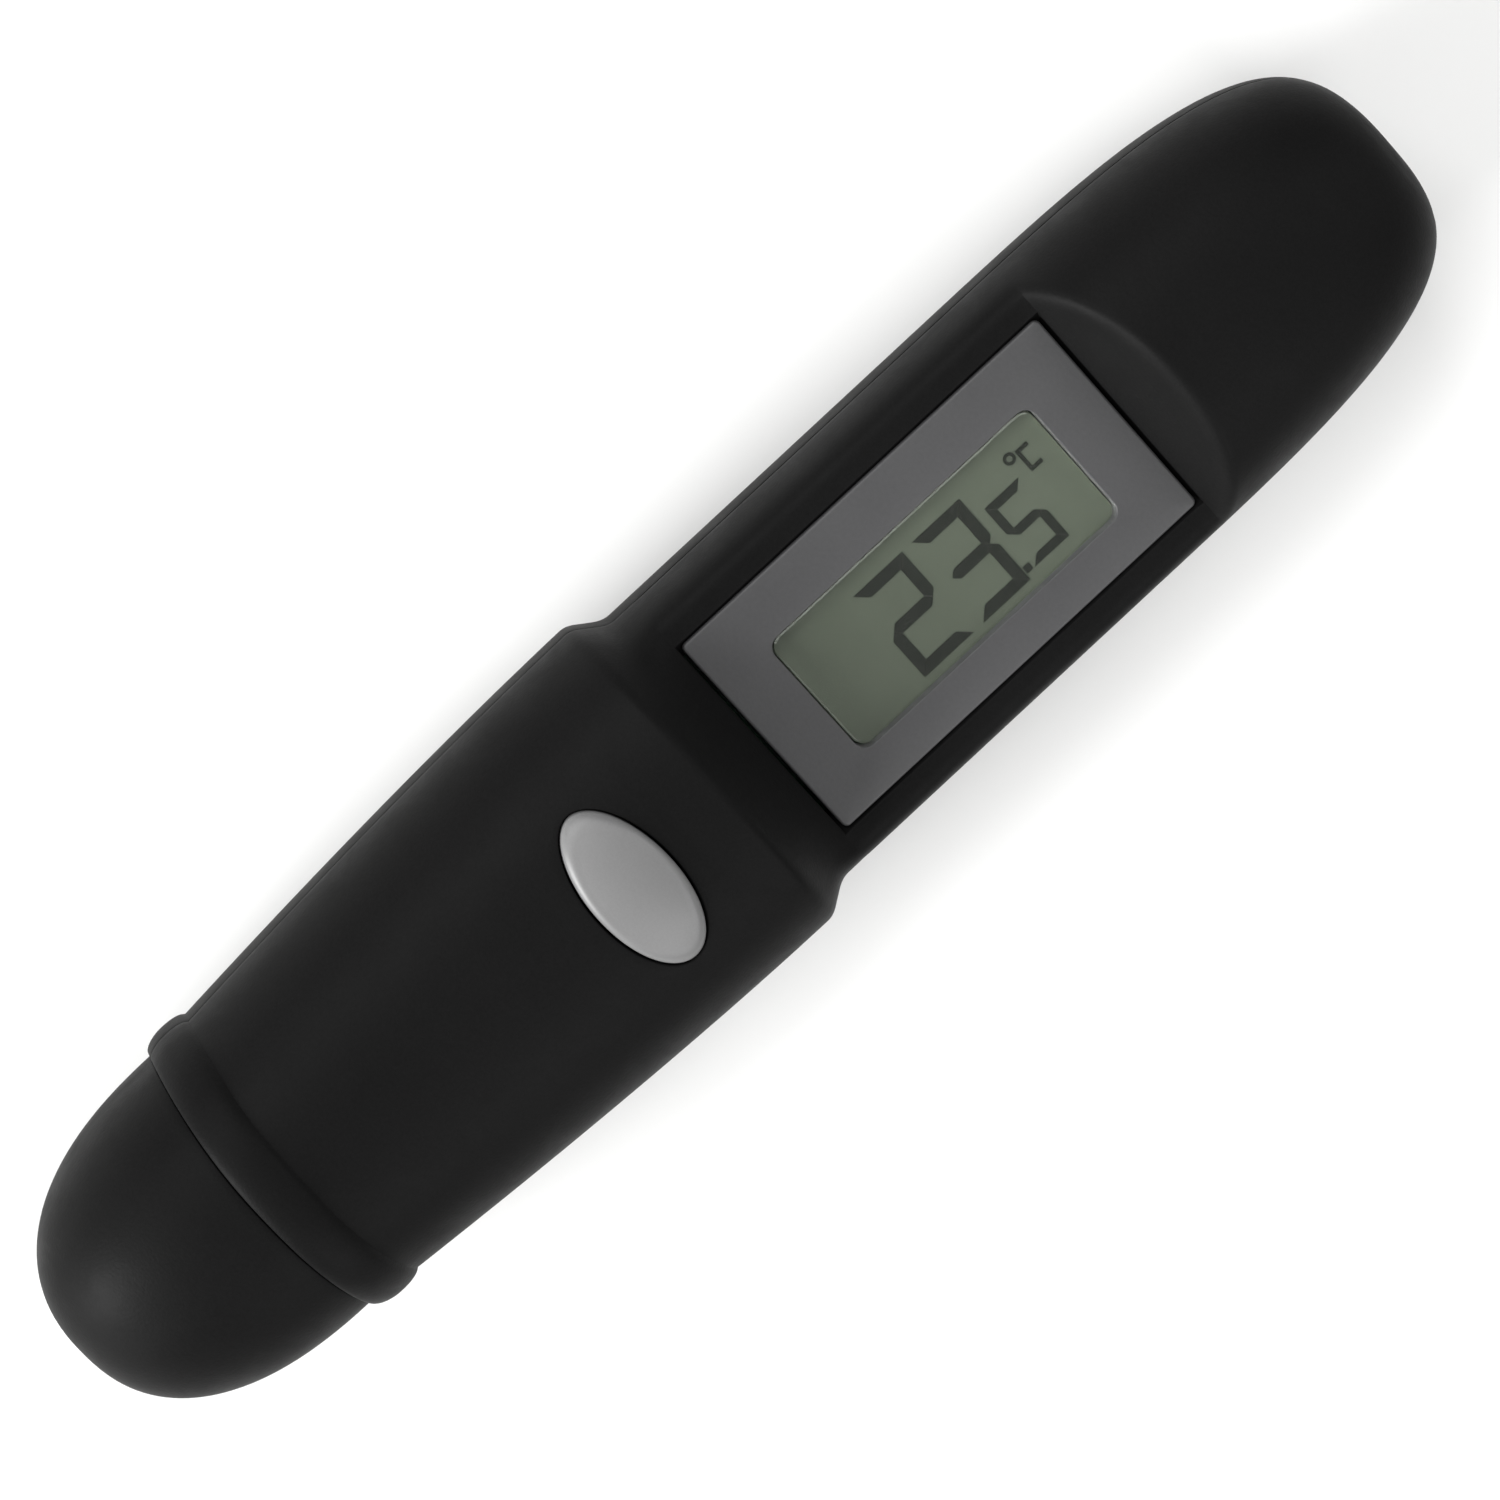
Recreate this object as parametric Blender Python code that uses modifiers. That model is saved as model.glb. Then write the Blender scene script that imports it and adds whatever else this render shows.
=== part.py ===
"""Pocket infrared thermometer with a pull-off battery cap, one push button and a small LCD.

The pen lies on its back: X runs across it, +Y points to the sensor end and +Z comes out of the
display. The origin is the middle of the footprint, on the flat of the back. A "station" is a distance
from the tail tip, and a "level" is a height over the plane where the two half shells meet.
"""

import math

import bmesh
import bpy
from mathutils import Matrix

MM = 0.001

# Outer shape
CAP_LENGTH = 11.4 * MM
SLEEVE_LENGTH = 28.55 * MM
COLLAR_RUN = 3.05 * MM
COLLAR_STEP = 1.5 * MM
PANEL_LENGTH = 22.9 * MM
HEAD_LENGTH = 18.1 * MM
COLLAR_WIDTH = 18.6 * MM
HEAD_WIDTH = 16.4 * MM
COLLAR_LIFT = 0.25 * MM
HEAD_DROP = 0.05 * MM
SADDLE_LEVEL = 3.57 * MM
SCOOP_RUN = 2.4 * MM
DOME_START = 3.9 * MM
FLANK_ROOM = 0.7 * MM
BACK_ROUNDING = 0.7 * MM
CAP_STEP = 0.1 * MM
RING_LENGTH = 2.4 * MM
RING_HEIGHT = 0.42 * MM
RING_BOW = 1.1 * MM
SECTION_POWER = 2.3
TAIL_POWER = 2.4
CAP_BORE_POWER = 2.0
HEAD_POWER = 3.6
SLEEVE_POWER = 1.7
SECTION_POINTS = 36
SLEEVE_SHARES = (0.04, 0.14, 0.26, 0.4, 0.6)
DOME_SHARES = (0.0, 0.2, 0.32, 0.43, 0.53, 0.63, 0.73, 0.82, 0.9, 0.96)

# Walls and clearances
WALL = 1.1 * MM
THIN_WALL = 0.5 * MM
FIT_GAP = 0.3 * MM
RUNNING_GAP = 0.15 * MM
SEAM_GAP = 0.2 * MM
TONGUE_WALL = 0.45 * MM
TONGUE_RISE = 0.6 * MM

# Two button cells in a metal sleeve
CELL_DIAMETER = 11.6 * MM
CELL_LENGTH = 5.4 * MM
CELL_POLE_SHARE = 0.78
CELL_STEP_SHARE = 0.12
TUBE_WALL = 0.4 * MM
SKIRT_WALL = 0.45 * MM
SKIRT_REACH = 1.4 * MM
SEAL_LENGTH = 0.5 * MM
FLANGE_LENGTH = 0.8 * MM
TUBE_REACH = 3.4 * MM
CELL_REACH = 0.6 * MM
CAP_TIP_WALL = 1.6 * MM
CONTACT_SHEET = 0.3 * MM
SPRING_WIRE = 0.45 * MM
SPRING_TURNS = 3
SPRING_BASE = 2.6 * MM
SPRING_TOP = 1.7 * MM
TERMINAL_RADIUS = 2.8 * MM
INSULATOR_LENGTH = 0.8 * MM
BATTERY_LEAD_RADIUS = 0.29 * MM

# Push button and its switch
BUTTON_WIDTH = 9.2 * MM
BUTTON_LENGTH = 4.4 * MM
BUTTON_FROM_COLLAR = 6.0 * MM
BUTTON_RISE = 0.5 * MM
BUTTON_TOP_SHARE = 0.82
BUTTON_EDGE_RISE = 0.6
BUTTON_LIP = 0.5 * MM
BUTTON_LIP_THICKNESS = 0.6 * MM
BUTTON_TRAVEL = 0.6 * MM
STEM_RADIUS = 1.4 * MM
SWITCH_SIDE = 6.0 * MM
SWITCH_HEIGHT = 3.5 * MM
PLUNGER_RADIUS = 1.7 * MM
PLUNGER_HEIGHT = 1.5 * MM

# Display stack, from the panel down to the circuit board
PANEL_MARGIN = 2.1 * MM
PANEL_PROUD = 0.1 * MM
PANEL_LIP = 0.6 * MM
PANEL_LIP_THICKNESS = 0.5 * MM
PANEL_CORNER = 0.3 * MM
WINDOW_END_MARGIN = 3.1 * MM
WINDOW_SIDE_MARGIN = 2.4 * MM
WINDOW_OFFSET = 0.3 * MM
WINDOW_CORNER = 0.6 * MM
LENS_THICKNESS = 0.8 * MM
LENS_RECESS = 0.25 * MM
LCD_OVERLAP = 1.2 * MM
LCD_THICKNESS = 1.3 * MM
POLARISER_THICKNESS = 0.2 * MM
STRIP_WIDTH = 0.9 * MM
STRIP_HEIGHT = 1.4 * MM
FRAME_WALL = 0.7 * MM

# Circuit board and what is soldered on it
BOARD_THICKNESS = 0.8 * MM
BOARD_SIDE_ROOM = 1.0 * MM
BOARD_TAIL_ROOM = 2.0 * MM
CHIP_SIDE = 6.0 * MM
CHIP_HEIGHT = 1.1 * MM
AMPLIFIER_SIDE = 3.6 * MM
AMPLIFIER_HEIGHT = 0.9 * MM
CRYSTAL_LENGTH = 6.0 * MM
CRYSTAL_RADIUS = 1.0 * MM
CAPACITOR_SIDE = 1.6 * MM
CAPACITOR_HEIGHT = 0.8 * MM

# Screws and their bosses
SCREW_RADIUS = 0.8 * MM
SCREW_LENGTH = 7.0 * MM
SCREW_HEAD_RADIUS = 1.45 * MM
SCREW_HEAD_HEIGHT = 0.9 * MM
SCREW_SINK = 1.0 * MM
BOSS_WALL = 0.9 * MM
SWITCH_ROOM = 2.5 * MM

# Infrared sensor in the nose
NOSE_RADIUS = 2.75 * MM
NOSE_DOME = 0.3 * MM
LENS_LENGTH = 1.7 * MM
CONE_RADIUS = 4.3 * MM
CONE_NOSE_RADIUS = 2.9 * MM
CONE_NOSE_LENGTH = 1.5 * MM
CONE_MOUTH_RADIUS = 2.5 * MM
CONE_LENGTH = 7.5 * MM
HEADER_INSET = 0.7 * MM
CAN_RADIUS = 2.3 * MM
CAN_LENGTH = 2.6 * MM
CAN_WALL = 0.25 * MM
HEADER_RADIUS = 2.65 * MM
HEADER_LENGTH = 0.5 * MM
FILTER_RADIUS = 1.2 * MM
FILTER_LENGTH = 0.2 * MM
THROAT_RADIUS = 1.7 * MM
LEAD_RADIUS = 0.22 * MM
LEAD_PITCH = 1.8 * MM
LEAD_SPLAY = (1.3, 0.8)

# Stations along the pen, counted from the tail tip
COLLAR = CAP_LENGTH + SLEEVE_LENGTH
PANEL_TAIL = COLLAR + COLLAR_RUN
PANEL_HEAD = PANEL_TAIL + PANEL_LENGTH
LENGTH = PANEL_HEAD + HEAD_LENGTH
DOME = PANEL_HEAD - DOME_START
BUTTON = COLLAR - BUTTON_FROM_COLLAR
SKIRT_END = CAP_LENGTH + SKIRT_REACH
SEAL_TAIL = SKIRT_END + FIT_GAP
FLANGE_TAIL = SEAL_TAIL + SEAL_LENGTH + SEAM_GAP
MOUTH_END = FLANGE_TAIL + FLANGE_LENGTH + RUNNING_GAP
HOLLOW_TAIL = MOUTH_END + WALL
TUBE_TAIL = CAP_LENGTH - TUBE_REACH
CELL_TAIL = TUBE_TAIL - CELL_REACH
CELL_HEAD = CELL_TAIL + 2 * CELL_LENGTH + SEAM_GAP
TERMINAL = CELL_HEAD + FIT_GAP
INSULATOR_TAIL = TERMINAL + CONTACT_SHEET + SEAM_GAP
TUBE_HEAD = INSULATOR_TAIL + INSULATOR_LENGTH
BOARD_TAIL = TUBE_HEAD + BOARD_TAIL_ROOM
LENS_TAIL = LENGTH - LENS_LENGTH
CONE_END = LENS_TAIL - FIT_GAP
CONE_TAIL = CONE_END - CONE_LENGTH
HEADER_TAIL = CONE_TAIL + HEADER_INSET
CAN_TAIL = HEADER_TAIL + HEADER_LENGTH
BOARD_HEAD = CONE_TAIL - FIT_GAP

# The cells set how deep and how wide the tail is
BORE = CELL_DIAMETER / 2 + 2 * RUNNING_GAP / 3
TUBE_RADIUS = BORE + TUBE_WALL
SKIRT_BORE = TUBE_RADIUS + RUNNING_GAP
SKIRT_RADIUS = SKIRT_BORE + SKIRT_WALL
MOUTH_RADIUS = SKIRT_RADIUS + RUNNING_GAP
BACK_DEPTH = MOUTH_RADIUS + THIN_WALL
TAIL_HEIGHT = MOUTH_RADIUS + THIN_WALL
TAIL_HALF_WIDTH = MOUTH_RADIUS + FLANK_ROOM
COLLAR_HEIGHT = TAIL_HEIGHT + COLLAR_LIFT
HEAD_HEIGHT = TAIL_HEIGHT - HEAD_DROP
MID = BACK_DEPTH

# The display stack sets the levels down to the circuit board
PANEL_TOP = SADDLE_LEVEL + PANEL_PROUD
LIP_TOP = SADDLE_LEVEL - WALL - SEAM_GAP
LIP_BOTTOM = LIP_TOP - PANEL_LIP_THICKNESS
LCD_TOP = LIP_BOTTOM - SEAM_GAP - POLARISER_THICKNESS - SEAM_GAP / 2
LCD_BOTTOM = LCD_TOP - LCD_THICKNESS
STRIP_TOP = LCD_BOTTOM - SEAM_GAP
BOARD_TOP = STRIP_TOP - STRIP_HEIGHT - SEAM_GAP
BOARD_BOTTOM = BOARD_TOP - BOARD_THICKNESS
PANEL_HOLE_WIDTH = HEAD_WIDTH - 2 * PANEL_MARGIN
PANEL_WIDTH = PANEL_HOLE_WIDTH - 2 * RUNNING_GAP
WINDOW_WIDTH = PANEL_WIDTH - 2 * WINDOW_SIDE_MARGIN
WINDOW_LENGTH = PANEL_LENGTH - 2 * WINDOW_END_MARGIN
LCD_WIDTH = WINDOW_WIDTH + 2 * LCD_OVERLAP
LCD_LENGTH = WINDOW_LENGTH + 2 * LCD_OVERLAP
BOARD_WIDTH = HEAD_WIDTH - 2 * WALL - 2 * BOARD_SIDE_ROOM
PANEL_MIDDLE = (PANEL_TAIL + PANEL_HEAD) / 2

# Screw places: one between the cells and the switch, one between the display and the sensor
BOSS_RADIUS = SCREW_RADIUS + RUNNING_GAP + BOSS_WALL
SCREW_STATIONS = {
    "tail": BUTTON - SWITCH_SIDE / 2 - SWITCH_ROOM - BOSS_RADIUS,
    "head": PANEL_HEAD + PANEL_LIP + FIT_GAP + BOSS_RADIUS,
}

# Colours, roughness and metallic value of each kind of material
BLACK_ABS = ((0.014, 0.014, 0.014), 0.5, 0.0)
GREY_ABS = ((0.09, 0.09, 0.09), 0.45, 0.0)
BUTTON_GREY = ((0.29, 0.29, 0.29), 0.5, 0.0)
CLEAR = ((0.75, 0.78, 0.74), 0.08, 0.0)
LCD_GREEN = ((0.12, 0.14, 0.10), 0.2, 0.0)
RUBBER = ((0.02, 0.02, 0.02), 0.85, 0.0)
NICKEL = ((0.62, 0.6, 0.55), 0.3, 1.0)
STEEL = ((0.55, 0.55, 0.56), 0.35, 1.0)
SPRING_STEEL = ((0.5, 0.5, 0.5), 0.3, 1.0)
BRASS = ((0.7, 0.5, 0.2), 0.35, 1.0)
ALUMINIUM = ((0.75, 0.75, 0.76), 0.4, 1.0)
BOARD_GREEN = ((0.01, 0.09, 0.03), 0.45, 0.0)
CHIP_BLACK = ((0.012, 0.012, 0.014), 0.6, 0.0)
WHITE_PLASTIC = ((0.7, 0.7, 0.68), 0.5, 0.0)
CERAMIC_TAN = ((0.45, 0.33, 0.2), 0.5, 0.0)
IR_DARK = ((0.02, 0.02, 0.025), 0.25, 0.0)
GOLD = ((0.8, 0.6, 0.25), 0.3, 1.0)


def station(distance):
    """World Y of a distance from the tail tip."""
    return distance - LENGTH / 2


def level(height):
    """World Z of a height over the plane where the half shells meet."""
    return MID + height


# ---------------------------------------------------------------- scene and object helpers

def clear_scene():
    for old in list(bpy.data.objects):
        bpy.data.objects.remove(old, do_unlink=True)


def make_collection(name):
    collection = bpy.data.collections.new(name)
    bpy.context.scene.collection.children.link(collection)
    return collection


def move_to(thing, collection):
    for owner in list(thing.users_collection):
        owner.objects.unlink(thing)
    collection.objects.link(thing)


def make_material(name, look):
    colour, roughness, metallic = look
    material = bpy.data.materials.new(name)
    material.use_nodes = True
    shader = material.node_tree.nodes["Principled BSDF"]
    shader.inputs["Base Color"].default_value = (*colour, 1.0)
    shader.inputs["Roughness"].default_value = roughness
    shader.inputs["Metallic"].default_value = metallic
    material.diffuse_color = (*colour, 1.0)
    return material


def finish(thing, name, look, smooth=True):
    """Name a finished piece, give it its material and put it with the other parts."""
    thing.name = name
    thing.data.name = name
    thing.data.materials.clear()
    thing.data.materials.append(make_material(name, look))
    if smooth:
        thing.data.shade_smooth()
        thing.data.set_sharp_from_angle(angle=math.radians(35))
    move_to(thing, PARTS)
    return thing


def apply_scale(thing):
    thing.data.transform(Matrix.Diagonal((*thing.scale, 1.0)))
    thing.scale = (1.0, 1.0, 1.0)


def block(size, centre):
    """A box with its sizes along X, Y and Z, and its centre in world coordinates."""
    bpy.ops.mesh.primitive_cube_add(size=1.0, location=centre)
    thing = bpy.context.object
    thing.scale = size
    apply_scale(thing)
    return thing


def rod(radius, low, high, centre, axis="Z", points=32):
    """A cylinder from low to high along its axis; centre gives the two other coordinates."""
    middle = (low + high) / 2
    if axis == "Z":
        location = (centre[0], centre[1], middle)
        turn = (0.0, 0.0, 0.0)
    else:
        location = (centre[0], middle, centre[1])
        turn = (-math.pi / 2, 0.0, 0.0)
    bpy.ops.mesh.primitive_cylinder_add(vertices=points, radius=radius, depth=high - low,
                                        location=location, rotation=turn)
    return bpy.context.object


def plate(width, length, thickness, corner, centre, arc_steps=4):
    """A flat plate with round corners: a filled 2D outline, extruded and made a mesh."""
    curve = bpy.data.curves.new("outline", "CURVE")
    curve.dimensions = "2D"
    curve.fill_mode = "BOTH"
    curve.extrude = thickness / 2
    points = []
    for corner_number in range(4):
        start = corner_number * math.pi / 2
        sign_x = 1 if corner_number in (0, 3) else -1
        sign_y = 1 if corner_number in (0, 1) else -1
        for step in range(arc_steps + 1):
            angle = start + step * math.pi / 2 / arc_steps
            points.append((sign_x * (width / 2 - corner) + corner * math.cos(angle),
                           sign_y * (length / 2 - corner) + corner * math.sin(angle)))
    spline = curve.splines.new("POLY")
    spline.points.add(len(points) - 1)
    for point, (x, y) in zip(spline.points, points):
        point.co = (x, y, 0.0, 1.0)
    spline.use_cyclic_u = True
    return curve_to_mesh(curve, centre)


def curve_to_mesh(curve, location=(0.0, 0.0, 0.0)):
    """Turn a curve into a closed mesh object whose caps are welded on."""
    source = bpy.data.objects.new("curve", curve)
    source.location = location
    bpy.context.scene.collection.objects.link(source)
    bpy.context.view_layer.update()
    evaluated = source.evaluated_get(bpy.context.evaluated_depsgraph_get())
    mesh = bpy.data.meshes.new_from_object(evaluated)
    shape = bmesh.new()
    shape.from_mesh(mesh)
    bmesh.ops.remove_doubles(shape, verts=shape.verts, dist=1e-7)
    bmesh.ops.recalc_face_normals(shape, faces=shape.faces)
    shape.to_mesh(mesh)
    shape.free()
    thing = bpy.data.objects.new("piece", mesh)
    thing.matrix_world = source.matrix_world
    bpy.context.scene.collection.objects.link(thing)
    bpy.data.objects.remove(source, do_unlink=True)
    return thing


def turned(profile, steps=36, closed=True):
    """Turn a profile of (radius, station) about the pen's long axis, at the middle level."""
    mesh = bpy.data.meshes.new("profile")
    shape = bmesh.new()
    verts = [shape.verts.new((radius, 0.0, along)) for radius, along in profile]
    for first, second in zip(verts, verts[1:]):
        shape.edges.new((first, second))
    if closed:
        shape.edges.new((verts[-1], verts[0]))
    shape.to_mesh(mesh)
    shape.free()
    thing = bpy.data.objects.new("turned", mesh)
    bpy.context.scene.collection.objects.link(thing)
    screw = thing.modifiers.new("turn", "SCREW")
    screw.angle = 2 * math.pi
    screw.steps = steps
    screw.render_steps = steps
    screw.use_merge_vertices = True
    screw.merge_threshold = 1e-6
    screw.use_smooth_shade = True
    thing.location = (0.0, station(0.0), level(0.0))
    thing.rotation_euler = (-math.pi / 2, 0.0, 0.0)
    return thing


def loft(rings, tips=(None, None)):
    """Skin closed rings of equal length; each end closes on its tip, or on its ring's middle."""
    mesh = bpy.data.meshes.new("loft")
    shape = bmesh.new()
    rows = [[shape.verts.new(point) for point in ring] for ring in rings]
    count = len(rings[0])
    for low, high in zip(rows, rows[1:]):
        for here in range(count):
            after = (here + 1) % count
            shape.faces.new((low[here], low[after], high[after], high[here]))
    for row, tip in ((rows[0], tips[0]), (rows[-1], tips[1])):
        if tip is None:
            tip = [sum(vert.co[axis] for vert in row) / count for axis in range(3)]
        end = shape.verts.new(tip)
        for here in range(count):
            shape.faces.new((row[here], row[(here + 1) % count], end))
    bmesh.ops.recalc_face_normals(shape, faces=shape.faces)
    shape.to_mesh(mesh)
    shape.free()
    thing = bpy.data.objects.new("loft", mesh)
    bpy.context.scene.collection.objects.link(thing)
    return thing


def combine(target, tool, operation):
    """Boolean of a target with a tool, which becomes a hidden cutter."""
    modifier = target.modifiers.new(operation.lower(), "BOOLEAN")
    modifier.operation = operation
    modifier.object = tool
    tool.hide_render = True
    tool.display_type = "WIRE"
    move_to(tool, CUTTERS)


def cut(target, *tools):
    for tool in tools:
        combine(target, tool, "DIFFERENCE")


def join(target, *tools):
    for tool in tools:
        combine(target, tool, "UNION")


# ---------------------------------------------------------------- outer form of the pen

def rounded_end(share, power):
    """Radius share of a blunt dome at a share of its length, 0 at its foot and 1 at its tip."""
    return max(0.0, 1.0 - min(1.0, share) ** power) ** (1.0 / power)


def half_width(along):
    """Half the outer width of the two half shells at a station."""
    if along <= COLLAR:
        share = (along - CAP_LENGTH) / SLEEVE_LENGTH
        flare = COLLAR_WIDTH / 2 - TAIL_HALF_WIDTH
        return TAIL_HALF_WIDTH + flare * (1.0 - (1.0 - max(share, 0.0)) ** SLEEVE_POWER)
    if along <= COLLAR + COLLAR_STEP:
        share = (along - COLLAR) / COLLAR_STEP
        return COLLAR_WIDTH / 2 + (HEAD_WIDTH - COLLAR_WIDTH) / 2 * share
    return HEAD_WIDTH / 2 * rounded_end(max(along - DOME, 0.0) / (LENGTH - DOME), HEAD_POWER)


def front_height(along):
    """Height of the crown over the middle plane at a station, before the saddle is cut."""
    if along <= COLLAR:
        share = (along - CAP_LENGTH) / SLEEVE_LENGTH
        return TAIL_HEIGHT + (COLLAR_HEIGHT - TAIL_HEIGHT) * max(share, 0.0)
    if along <= COLLAR + COLLAR_STEP:
        share = (along - COLLAR) / COLLAR_STEP
        return COLLAR_HEIGHT + (HEAD_HEIGHT - COLLAR_HEIGHT) * share
    return HEAD_HEIGHT * rounded_end(max(along - DOME, 0.0) / (LENGTH - DOME), HEAD_POWER)


def back_height(along):
    """Depth of the round back under the middle plane, before the flat is taken off it."""
    full = BACK_DEPTH + BACK_ROUNDING
    return full * rounded_end(max(along - DOME, 0.0) / (LENGTH - DOME), HEAD_POWER)


def section(width, front, back, floor):
    """Points of one cross-section as (x, level), with the back cut flat at the floor level."""
    points = []
    for number in range(SECTION_POINTS):
        angle = 2 * math.pi * number / SECTION_POINTS
        across = abs(math.cos(angle)) ** (2 / SECTION_POWER)
        upward = abs(math.sin(angle)) ** (2 / SECTION_POWER)
        height = front if math.sin(angle) >= 0 else back
        x = math.copysign(width * across, math.cos(angle))
        z = math.copysign(height * upward, math.sin(angle))
        points.append((x, max(z, -floor)))
    return points


def ring_swell(along, angle):
    """Extra height of the grip ring, which bows to the tail on the front and the back."""
    middle = CAP_LENGTH + SEAM_GAP + RING_LENGTH / 2 - RING_BOW * math.sin(angle) ** 2
    offset = (along - middle) / (RING_LENGTH / 2)
    return RING_HEIGHT * math.sqrt(1.0 - offset ** 2) if abs(offset) < 1.0 else 0.0


def shell_stations(end):
    """Stations for a loft of the half shells: even on the sleeve, closer on collar and dome."""
    rows = [CAP_LENGTH + RING_LENGTH + SLEEVE_LENGTH * share for share in SLEEVE_SHARES]
    rows += [BUTTON, COLLAR, COLLAR + COLLAR_STEP, PANEL_MIDDLE]
    dome = end - DOME
    rows += [DOME + dome * math.sin(math.pi / 2 * share) for share in DOME_SHARES]
    return rows


def shell_body():
    """Solid outer form of both half shells together, from the cap joint to the nose."""
    rings = []
    for step in range(9):
        share = step / 8
        ring = []
        base = CAP_LENGTH + SEAM_GAP + RING_LENGTH * (1 - math.cos(math.pi * share)) / 2
        points = section(half_width(base), front_height(base), back_height(base), BACK_DEPTH)
        for number, (x, z) in enumerate(points):
            angle = 2 * math.pi * number / SECTION_POINTS
            along = base - RING_BOW * math.sin(angle) ** 2
            reach = math.hypot(x, z)
            grown = 1.0 + ring_swell(along, angle) / reach
            ring.append((x * grown, station(along), level(max(z * grown, -BACK_DEPTH))))
        rings.append(ring)
    for along in shell_stations(LENGTH):
        points = section(half_width(along), front_height(along), back_height(along), BACK_DEPTH)
        rings.append([(x, station(along), level(z)) for x, z in points])
    tail = (0.0, station(CAP_LENGTH + SEAM_GAP), level(0.0))
    return loft(rings, (tail, (0.0, station(LENGTH), level(0.0))))


def shell_cavity(inset, tail):
    """Hollow inside both half shells: the outer form moved in by an inset."""
    rings = []
    inner_end = LENGTH - inset
    for along in [tail] + shell_stations(inner_end)[1:]:
        end = rounded_end(max(along - DOME, 0.0) / (inner_end - DOME), HEAD_POWER)
        before_dome = min(along, DOME)
        width = (half_width(before_dome) - inset) * end
        front = (front_height(before_dome) - inset) * end
        back = (back_height(before_dome) - inset) * end
        points = section(width, front, back, BACK_DEPTH - inset)
        rings.append([(x, station(along), level(z)) for x, z in points])
    return loft(rings, ((0.0, station(tail), level(0.0)), (0.0, station(inner_end), level(0.0))))


def saddle_block(inset):
    """Wedge over the display: its flat floor and the slopes at both ends, moved in by inset."""
    tail_slope = math.atan2(COLLAR_HEIGHT - SADDLE_LEVEL, COLLAR_RUN)
    head_slope = math.atan2(HEAD_HEIGHT - SADDLE_LEVEL, SCOOP_RUN)
    floor = SADDLE_LEVEL - inset
    top = COLLAR_HEIGHT * 1.5
    tail = PANEL_TAIL - inset * math.tan(tail_slope / 2)
    head = PANEL_HEAD + inset * math.tan(head_slope / 2)
    outline = [(tail, floor), (head, floor),
               (head + (top - floor) / math.tan(head_slope), top),
               (tail - (top - floor) / math.tan(tail_slope), top)]
    curve = bpy.data.curves.new("saddle", "CURVE")
    curve.dimensions = "2D"
    curve.fill_mode = "BOTH"
    curve.extrude = COLLAR_WIDTH
    spline = curve.splines.new("POLY")
    spline.points.add(len(outline) - 1)
    for point, (along, height) in zip(spline.points, outline):
        point.co = (station(along), level(height), 0.0, 1.0)
    spline.use_cyclic_u = True
    thing = curve_to_mesh(curve)
    # the outline's own X and Y become world Y and Z
    for vert in thing.data.vertices:
        vert.co = (vert.co.z, vert.co.x, vert.co.y)
    return thing


def half_space(upper):
    """Box over or under the plane where the half shells meet, with half the seam taken off."""
    size = 2 * LENGTH
    shift = (size - SEAM_GAP) / 2
    return block((size, size, size), (0.0, 0.0, level(shift if upper else -shift)))


def hollow(inset):
    """The space inside both half shells, over which the display floor stays."""
    space = shell_cavity(inset, HOLLOW_TAIL - WALL + inset)
    cut(space, saddle_block(inset))
    return space


def inner_supports(upper):
    """Screw posts and the rib that carries the sensor cone, trimmed to end halfway into the wall."""
    rib_start = TONGUE_RISE + FIT_GAP if upper else -TONGUE_RISE
    rib_middle = rib_start + (BACK_DEPTH if upper else -BACK_DEPTH)
    rib_place = (0.0, station(CAN_TAIL + CAN_LENGTH / 2), level(rib_middle))
    supports = [block((2 * HEAD_WIDTH, WALL, 2 * BACK_DEPTH), rib_place)]
    for along in SCREW_STATIONS.values():
        centre = (0.0, station(along))
        if upper:
            post = rod(BOSS_RADIUS, level(BOARD_TOP + SEAM_GAP), level(2 * HEAD_HEIGHT), centre)
        else:
            radius = SCREW_HEAD_RADIUS + RUNNING_GAP + BOSS_WALL
            post = rod(radius, level(-2 * BACK_DEPTH), level(BOARD_BOTTOM - SEAM_GAP), centre)
        supports.append(post)
    core = hollow(WALL / 2)
    for support in supports:
        combine(support, core, "INTERSECT")
    return supports


def seam_tongue():
    """Lip of the back shell that stands up inside the front shell all round the seam."""
    root = shell_cavity(WALL / 2, HOLLOW_TAIL - WALL / 2)
    root_box = block((2 * COLLAR_WIDTH, 2 * LENGTH, TONGUE_RISE),
                     (0.0, 0.0, level(-SEAM_GAP - TONGUE_RISE / 2)))
    combine(root, root_box, "INTERSECT")
    tongue = shell_cavity(WALL + RUNNING_GAP, HOLLOW_TAIL + RUNNING_GAP)
    top = block((2 * COLLAR_WIDTH, 2 * LENGTH, 2 * TONGUE_RISE), (0.0, 0.0, level(0.0)))
    combine(tongue, top, "INTERSECT")
    join(tongue, root)
    cut(tongue, shell_cavity(WALL + RUNNING_GAP + TONGUE_WALL, HOLLOW_TAIL - WALL))
    return tongue


def tail_bores():
    """Round bores for the cap's skirt and for the cell tube."""
    mouth = rod(MOUTH_RADIUS, station(-CAP_LENGTH), station(MOUTH_END), (0.0, level(0.0)), "Y", 48)
    bore = rod(TUBE_RADIUS + FIT_GAP, station(CAP_LENGTH), station(TUBE_HEAD + FIT_GAP),
               (0.0, level(0.0)), "Y", 48)
    return mouth, bore


def cone_bore():
    tail = station(CONE_TAIL - FIT_GAP)
    head = station(CONE_END - CONE_NOSE_LENGTH)
    return rod(CONE_RADIUS + RUNNING_GAP, tail, head, (0.0, level(0.0)), "Y", 32)


def nose_hole():
    return rod(NOSE_RADIUS + RUNNING_GAP, station(CONE_END - CONE_NOSE_LENGTH), station(LENGTH + WALL),
               (0.0, level(0.0)), "Y", 32)


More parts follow.
